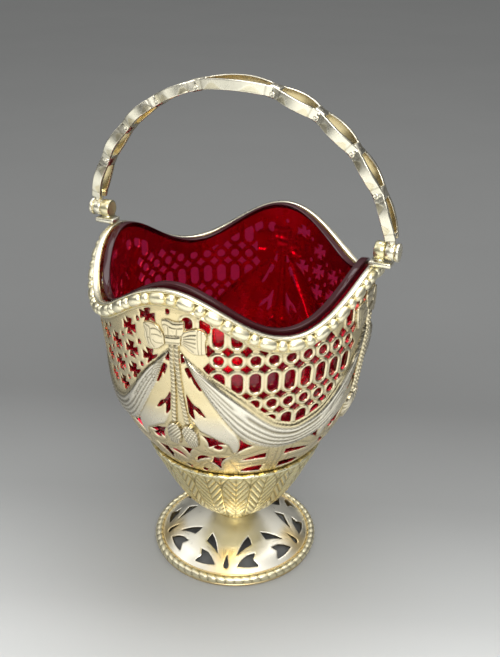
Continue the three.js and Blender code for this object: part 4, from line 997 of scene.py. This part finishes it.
def bead(distance, length, height, squareness):
    """A bead on the channel: a turned barrel whose axis follows the rim"""
    azimuth = np.interp(distance, run, samples)
    ends = azimuth + np.array([-0.01, 0.01])
    behind, ahead = polar(ends, trace_radius, rim_z(ends))
    forward = (ahead - behind) / np.linalg.norm(ahead - behind)
    outward = np.array([math.sin(azimuth), -math.cos(azimuth), 0])
    upward = np.cross(outward, forward)
    turned = np.cos(np.linspace(0, math.pi, 11))
    radius = np.clip(1 - np.abs(turned) ** squareness, 0, 1) ** (1 / 2.4)
    shape = rounded_rings(np.column_stack([turned * length / 2, np.maximum(radius, 0.02)]), bead_sides, "x")
    shape = shape * [1, 1.68, height / 2]
    centre = polar(azimuth, bead_radius, rim_z(azimuth) - bead_drop)
    return skin(shape @ np.array([forward, outward, upward]) + centre)


round_bead = {"length": 3.4, "height": 3.6, "squareness": 2.1}
long_bead = {"length": pitch - 3.3, "height": 3.8, "squareness": 3.2}
beads = []
for k in range(pairs):
    beads.append(bead((k + bead_start) * pitch % run[-1], **round_bead))
    beads.append(bead((k + bead_start + 0.5) * pitch % run[-1], **long_bead))
points, faces = joined([channel] + beads)
in_channel = np.arange(len(points)) < len(channel[0])
add_mesh("bead_and_reel_border", points, faces, [soft_gilt], ["bead_border"],
         looks(len(points), 0.18 * in_channel, np.where(in_channel, 0.1, 0.3)))

# The glass liner: outside, thick rounded edge, inside and a floor that rises a little in the middle
liner_stations = np.arange(256) / 256 * TURN
liner_bottom, liner_floor, liner_wall, liner_play = 51.5, 3.0, 2.0, 0.45
edge_radius, edge_wall, edge_round, below_edge = 44.8, 2.4, 0.35, 1.25
outer_corner, inner_corner, floor_dome = 2.6, 1.6, 0.9
inner_floor = liner_bottom + liner_floor
top_z = rim_z(liner_stations) + 0.6 + 0.4 * np.cos(liner_stations - 40 * DEGREE)


def liner_outer(share, height):
    """The liner follows the bowl's wall, and stands off from it towards the rim"""
    rim_pull = float(bowl_r(rim_height)) - bowl_wall - liner_play - edge_radius
    return bowl_r(height) - bowl_wall - liner_play - rim_pull * share


def liner_rings(radii_and_rises, level):
    return [polar(liner_stations, radius, level + rise) for radius, rise in radii_and_rises]


outer_rings, inner_rings, edge_rings = [], [], []
for share in [*np.linspace(0, 0.95, 24), 0.99, 1]:
    outer, inner = (start + share * (top_z - below_edge - start)
                    for start in (liner_bottom + outer_corner, inner_floor + inner_corner))
    wall = liner_wall + (edge_wall - liner_wall) * share
    outer_rings.append(polar(liner_stations, liner_outer(share, outer), outer))
    inner_rings.append(polar(liner_stations, liner_outer(share, inner) - wall, inner))
for corner, turns in ((edge_radius - edge_round, (0, 25, 55, 90)),
                      (edge_radius - edge_wall + edge_round, (90, 125, 155, 180))):
    edge_rings += liner_rings([(corner + edge_round * math.cos(turn * DEGREE),
                                edge_round * (math.sin(turn * DEGREE) - 1)) for turn in turns], top_z)
corner = float(liner_outer(0, liner_bottom + outer_corner))
base_rings = liner_rings([(corner - 3.6, 0), (corner - 2.4, 0.25), (corner - 1.2, 0.95),
                          (corner - 0.45, 1.7)], liner_bottom)
corner = float(liner_outer(0, inner_floor + inner_corner)) - liner_wall
floor_arc = [(corner - 0.35, 0.9), (corner - 1.0, 0.38), (corner - 2.0, 0.1), (corner - 3.2, 0)]
floor_arc += [((corner - 3.2) * share, floor_dome * (1 - share ** 2)) for share in np.linspace(0.9, 0.05, 12)]
floor_rings = liner_rings(floor_arc, inner_floor)
points, faces = skin(base_rings + outer_rings + edge_rings + inner_rings[::-1] + floor_rings)
ring_of = np.arange(len(faces[0])) // len(liner_stations)
first_edge = len(base_rings) + len(outer_rings) - 2
on_edge = (ring_of >= first_edge) & (ring_of <= first_edge + len(edge_rings))
face_material = np.concatenate([np.where(ring_of < first_edge, 2, on_edge), [2, 0]])
add_mesh("ruby_liner", points, faces, [ruby_glass, ruby_rim, ruby_outside], ["glass_liner"],
         face_material=face_material, body="liner")

# Hinges: a plate, a fixed knuckle on a spreading foot, a handle knuckle and a pin with a dished head
plate_bottom = float(rim_z(math.pi / 2)) + 0.3
plate_thickness, plate_middle = 1.6, 50.15
plate_top = plate_bottom + plate_thickness
plate_size = (7.2, 5, plate_thickness)


def turned_along_x(profile, side):
    """A turned shape on the hinges' axis, from [distance from the middle, radius] points"""
    rings_around = rounded_rings([[side * x, r] for x, r in profile], 32, "x")
    if side < 0:
        rings_around = rings_around[:, ::-1]
    points, faces = skin(rings_around)
    return points + [0, 0, hinge_height], faces


def add_hinge_piece(name, mesh, metal, node_name, body="basket", dark_end=0.0):
    """A plain bright piece, with painted shade where it ends against the rim"""
    points, faces = mesh
    darkening = 0.04 + 0.5 * (np.abs(points[:, 0]) < dark_end)
    add_mesh(name, points, faces, [metal], [node_name], looks(len(points), darkening, 0.75), body=body)


half_saddle = [[-2.4, plate_top + 0.3], [-1.95, plate_top + 0.7], [-1.75, plate_top + 1.5],
               [-2.2, plate_top + 2.6]]
saddle = half_saddle + [[-y, z] for y, z in half_saddle[::-1]]
barrel = [[48.0, 2.2], [48.02, 2.75], [48.3, 3.0], [51.0, 3.0], [51.28, 2.8], [51.3, 1.5]]
swing_barrel = [[51.6, 1.5], [51.62, 2.55], [51.8, 2.75], [54.2, 2.75], [54.38, 2.55], [54.4, 1.5]]
pin = [[48.3, 0.3], [48.35, 1.0], [54.65, 1.0], [54.7, 2.8], [54.85, 3.0], [55.6, 3.0], [55.85, 2.8],
       [55.85, 2.2], [55.6, 1.2], [55.55, 0.2]]
for word, side in (("left", -1), ("right", 1)):
    plate = round_box((side * plate_middle, 0, (plate_bottom + plate_top) / 2), plate_size, 0.3)
    arm = skin([[[side * x, y, z] for y, z in saddle] for x in (48.15, 51.15)])
    knuckle = joined([turned_along_x(barrel, side), arm])
    add_hinge_piece(f"plate_{word}", plate, bright_gilt, f"hinge_plate_{word}")
    add_hinge_piece(f"knuckle_{word}", knuckle, calyx_gilt, f"fixed_knuckle_{word}", dark_end=48.1)
    add_hinge_piece(f"swing_knuckle_{word}", turned_along_x(swing_barrel, side), bright_gilt,
                    f"handle_knuckle_{word}", body="handle")
    add_hinge_piece(f"pin_{word}", turned_along_x(pin, side), bright_gilt, f"pivot_pin_{word}", body="handle")

# The handle: nine loops between junction blocks. Each rail has a sunk facet near its ends, low on its outer
# side, and each block a small round boss on both sides and a bead on top
arch_half, arch_rise, arch_height = 54.0, 53.4, 120.5
arch_end = 10.8 * DEGREE
junctions = [0.297, 0.473, 0.658, 0.843]
loop_halves = [2.9, 3.5, 4.1, 4.5, 4.9]
rail_height, rail_width, rail_at_block = 3.3, 1.35, 1.7
rail_samples = 57
block_length, block_drop, boss_drop, knob_rise = 4.2, 0.25, 0.9, 0.85
block_size = (block_length, 5.0, 3.8)


def arch(angle):
    return np.array([arch_half * math.cos(angle), 0, arch_height + arch_rise * math.sin(angle)])


def arch_frame(angle):
    """Directions along the arch, sideways and outwards"""
    out = np.array([math.cos(angle) / arch_half, 0, math.sin(angle) / arch_rise])
    out /= np.linalg.norm(out)
    sideways = np.array([0, 1, 0])
    return np.cross(sideways, out), sideways, out


side_heights = np.array([-0.46, -0.4, -0.34, -0.24, -0.14, -0.04, 0.06, 0.16, 0.3, 0.4, 0.46])
rail_section = np.array([[0.5, y] for y in side_heights] + [[0.42, 0.5], [-0.42, 0.5]]
                        + [[-0.5, y] for y in side_heights[::-1]] + [[-0.42, -0.5], [0.42, -0.5]])
rail_dirt_and_shade, rail_tone, rail_inner = [], [], []


def rail(first, last, half, side):
    """One side of a loop: a flat band that bows outwards, with grooves where it meets the blocks"""
    rings_along = []
    for share in np.linspace(0, 1, rail_samples):
        angle = first + share * (last - first)
        bulge = abs(math.sin(share * math.pi)) ** 1.1
        across = side * (rail_at_block + (half - rail_at_block) * bulge)
        _, sideways, out = arch_frame(angle)
        from_end = min(share, 1 - share)
        from_block = from_end * (last - first) * arch_half - block_length / 2
        groove = soft_line(from_block, 0.28, 0.2)
        x, y = rail_section.T
        on_side = x > 0.45
        facet_top = -0.42 + 0.62 * float(ease(1 - abs(from_end - 0.25) / 0.16))
        facet = np.where(on_side & (y > -0.42), ease((facet_top - y) / 0.08), 0)
        depth = 0.06 * facet / rail_width
        shrink = 1 - 0.06 * groove
        offsets = np.outer(across + side * (x - depth) * rail_width * shrink, sideways)
        rings_along.append(arch(angle) + offsets + np.outer(y * rail_height * shrink - 0.15, out))
        beneath = y < -0.48
        # Painted shade on the inner side and the underside, and grime in the grooves at the blocks and in the
        # facets
        rail_dirt_and_shade.append(0.03 + 0.13 * facet + 0.4 * groove + 0.12 * (x < -0.45) + 0.5 * beneath)
        # The outer side and the top are pale; the inner side and the underside stay gold as painted shade
        rail_tone.append(np.where(on_side | (y > 0.45), 0.85, 0.0) * (1 - 0.7 * facet))
        rail_inner.append(x < -0.4)
    if side < 0:
        rings_along = [ring[::-1] for ring in rings_along]
        for values in (rail_dirt_and_shade, rail_tone, rail_inner):
            values[-rail_samples:] = [ring[::-1] for ring in values[-rail_samples:]]
    return skin(rings_along)


stops = [arch_end] + [share * math.pi / 2 for share in junctions]
spans = list(zip(stops, stops[1:], loop_halves))
spans += [(math.pi - b, math.pi - a, w) for a, b, w in spans]
spans.append((stops[-1], math.pi - stops[-1], loop_halves[-1]))
rails = joined([rail(a, b, w, side) for a, b, w in spans for side in (1, -1)])
boss_profile = [[2.2, 0.95], [2.62, 0.95], [2.78, 0.8], [2.82, 0.55], [2.7, 0.4], [2.68, 0.05]]
knob_profile = [[math.cos(t) * -0.85, max(math.sin(t), 0.03) * 0.95] for t in np.linspace(0, math.pi, 9)]
parts = []
for stop in stops[1:]:
    for angle in (stop, math.pi - stop):
        along, sideways, out = axes = arch_frame(angle)
        parts.append(round_box(arch(angle) - out * block_drop, block_size, 0.5, axes))
        for side in (1, -1):
            boss = rounded_rings(boss_profile, 16)
            if side < 0:
                boss = (boss * [1, 1, -1])[:, ::-1]
            parts.append(skin(boss @ np.array([along, out, sideways]) + arch(angle) - out * boss_drop))
        knob = rounded_rings(knob_profile, 14) @ np.array(axes)
        parts.append(skin(knob + arch(angle) + out * knob_rise))
eight_sides = [(1, 0.6), (0.6, 1), (-0.6, 1), (-1, 0.6), (-1, -0.6), (-0.6, -1), (0.6, -1), (1, -0.6)]
neck_x, rail_start = 53.0, arch(arch_end)
neck_levels = [(neck_x, 128.9, 2.7, 1.6), (neck_x, 129.6, 3.4, 2.2), (neck_x, 130.2, 2.9, 1.9),
               (neck_x, 131.2, 3.1, 2.2), (rail_start[0], rail_start[2] + 2.2, 3.6, 2.5)]
for side in (1, -1):
    neck = [[[side * (x + thick / 2 * a), width / 2 * b, z] for a, b in eight_sides]
            for x, z, width, thick in neck_levels]
    parts.append(skin(neck if side > 0 else [ring[::-1] for ring in neck]))
blocks = joined(parts)
points, faces = joined([rails, blocks])
x, _, z = (blocks[0] - [0, 0, arch_height]).T
# Painted shade under the blocks
beneath = ease((arch_rise - 1.6 - np.hypot(x * arch_rise / arch_half, z)) / 0.4)
handle_dirt_and_shade = np.concatenate([np.clip(np.concatenate(rail_dirt_and_shade), 0, 0.8), 0.05 + 0.6 * beneath])
handle_tone = np.concatenate([*rail_tone, np.full(len(beneath), 0.8)])
inner_face = np.concatenate([*rail_inner, np.zeros(len(beneath), bool)])
# The inner faces take the darker gilt, a painted shade
face_material = np.concatenate([inner_face[np.asarray(group)].all(axis=1) for group in faces])
add_mesh("openwork_handle", points, faces, [bright_gilt, gilt], ["handle_strap"],
         looks(len(points), handle_dirt_and_shade, handle_tone), face_material, body="handle")

# The studio: a pale floor that darkens behind the object as a painted fall-off of the light, soft lamps and a
# room that is brightest overhead
camera_turn, camera_distance, camera_height = 24.594 * DEGREE, 279.80, 222.77
yaw, pitch, roll = -1.013 * DEGREE, 25.495 * DEGREE, 0.625 * DEGREE
focal_pixels, picture_height = 884.555, 657
facing = camera_turn + yaw
eye = MM * Vector((camera_distance * math.sin(camera_turn), -camera_distance * math.cos(camera_turn),
                   camera_height))
forward = Vector((-math.sin(facing) * math.cos(pitch), math.cos(facing) * math.cos(pitch), -math.sin(pitch)))
level_right = Vector((math.cos(facing), math.sin(facing), 0))
level_up = level_right.cross(forward)
right = level_right * math.cos(roll) + level_up * math.sin(roll)
up = level_up * math.cos(roll) - level_right * math.sin(roll)
lens = bpy.data.cameras.new("camera")
lens.sensor_fit = "VERTICAL"
lens.sensor_height = 36
lens.lens = focal_pixels / picture_height * lens.sensor_height
lens.clip_start = 0.01
lens.clip_end = 50
camera = bpy.data.objects.new("camera", lens)
pose = Matrix((right, up, -forward)).transposed().to_4x4()
pose.translation = eye
camera.matrix_world = pose
bpy.context.scene.collection.objects.link(camera)
bpy.context.scene.camera = camera


def tone_ramp(tree, share, tones, tint=(1, 1, 1)):
    """Tones along a share, as [share, brightness]"""
    made = node(tree, "ShaderNodeValToRGB", {0: share})
    marks = made.color_ramp.elements
    while len(marks) < len(tones):
        marks.new(0.5)
    for mark, (place, brightness) in zip(marks, tones):
        mark.position = place
        mark.color = (*(brightness * part for part in tint), 1)
    return made.outputs[0]


def floor_look(tree):
    """The floor's tone follows its distance behind the object, seen from the front right: a painted fall-off
    of the light
    """
    spots = node(tree, "ShaderNodeTexCoord").outputs["Object"]
    backwards = (-math.sin(gradient_turn), math.cos(gradient_turn), 0)
    away = node(tree, "ShaderNodeVectorMath", {0: spots, 1: backwards}, operation="DOT_PRODUCT")
    share = ranged(tree, away.outputs["Value"], floor_near, floor_far, 0, 1)
    tones = [((place * MM - floor_near) / (floor_far - floor_near), tone_there)
             for place, tone_there in floor_tones]
    mottle = ranged(tree, noise(tree, 6, 3), 0.3, 0.7, 0, 0.06)
    tone_here = tone_ramp(tree, share, tones, (0.985, 1, 0.985))
    return {"Base Color": mixed(tree, mottle, tone_here, (0.3, 0.3, 0.29)), "Roughness": 0.9,
            "Specular IOR Level": 0.1}


# The floor's tones, as [millimetres behind the object, brightness]
gradient_turn = facing - 0.08
floor_near, floor_far, floor_size = -0.5, 1.9, 6.0
floor_tones = [(-400, 0.8), (-140, 0.86), (-78, 0.59), (-56, 0.54), (-38, 0.44), (-16, 0.375), (21, 0.262),
               (104, 0.163), (228, 0.178), (607, 0.182), (1738, 0.215)]
floor_mesh = bpy.data.meshes.new("floor")
floor_mesh.from_pydata([(x * floor_size, y * floor_size, 0) for x, y in ((-1, -1), (1, -1), (1, 1), (-1, 1))],
                       [], [(0, 1, 2, 3)])
floor_mesh.materials.append(material("floor", floor_look))
floor = bpy.data.objects.new("floor", floor_mesh)
bpy.context.scene.collection.objects.link(floor)


def lamp(name, place, size, power):
    light = bpy.data.lights.new(name, "AREA")
    light.shape = "RECTANGLE"
    light.size, light.size_y = size
    light.energy = power
    made = bpy.data.objects.new(name, light)
    made.location = place
    made.rotation_euler = (lamps_aim - Vector(place)).to_track_quat("-Z", "Y").to_euler()
    bpy.context.scene.collection.objects.link(made)


lamps_aim = Vector((0, 0, 0.09))
lamp("key", (0.5, -0.95, 0.85), (0.8, 0.6), 10)
lamp("fill", (-0.95, -0.35, 0.75), (0.6, 0.6), 1.2)
lamp("overhead", (0.05, 0.25, 1.1), (0.9, 0.6), 6)

world = bpy.data.worlds.new("room")
bpy.context.scene.world = world
world.use_nodes = True
sky = world.node_tree
background = sky.nodes["Background"]
direction = node(sky, "ShaderNodeTexCoord").outputs["Generated"]
height_part = node(sky, "ShaderNodeSeparateXYZ", {"Vector": direction}).outputs["Z"]
room_tones = [(0, 0.4), (0.5, 0.1), (0.6, 0.14), (0.75, 0.6), (0.9, 1.5), (1, 1.9)]
room = tone_ramp(sky, ranged(sky, height_part, -1, 1, 0, 1), room_tones)
sky.links.new(room, background.inputs["Color"])
background.inputs["Strength"].default_value = 0.6

bpy.context.scene.view_settings.view_transform = "Standard"
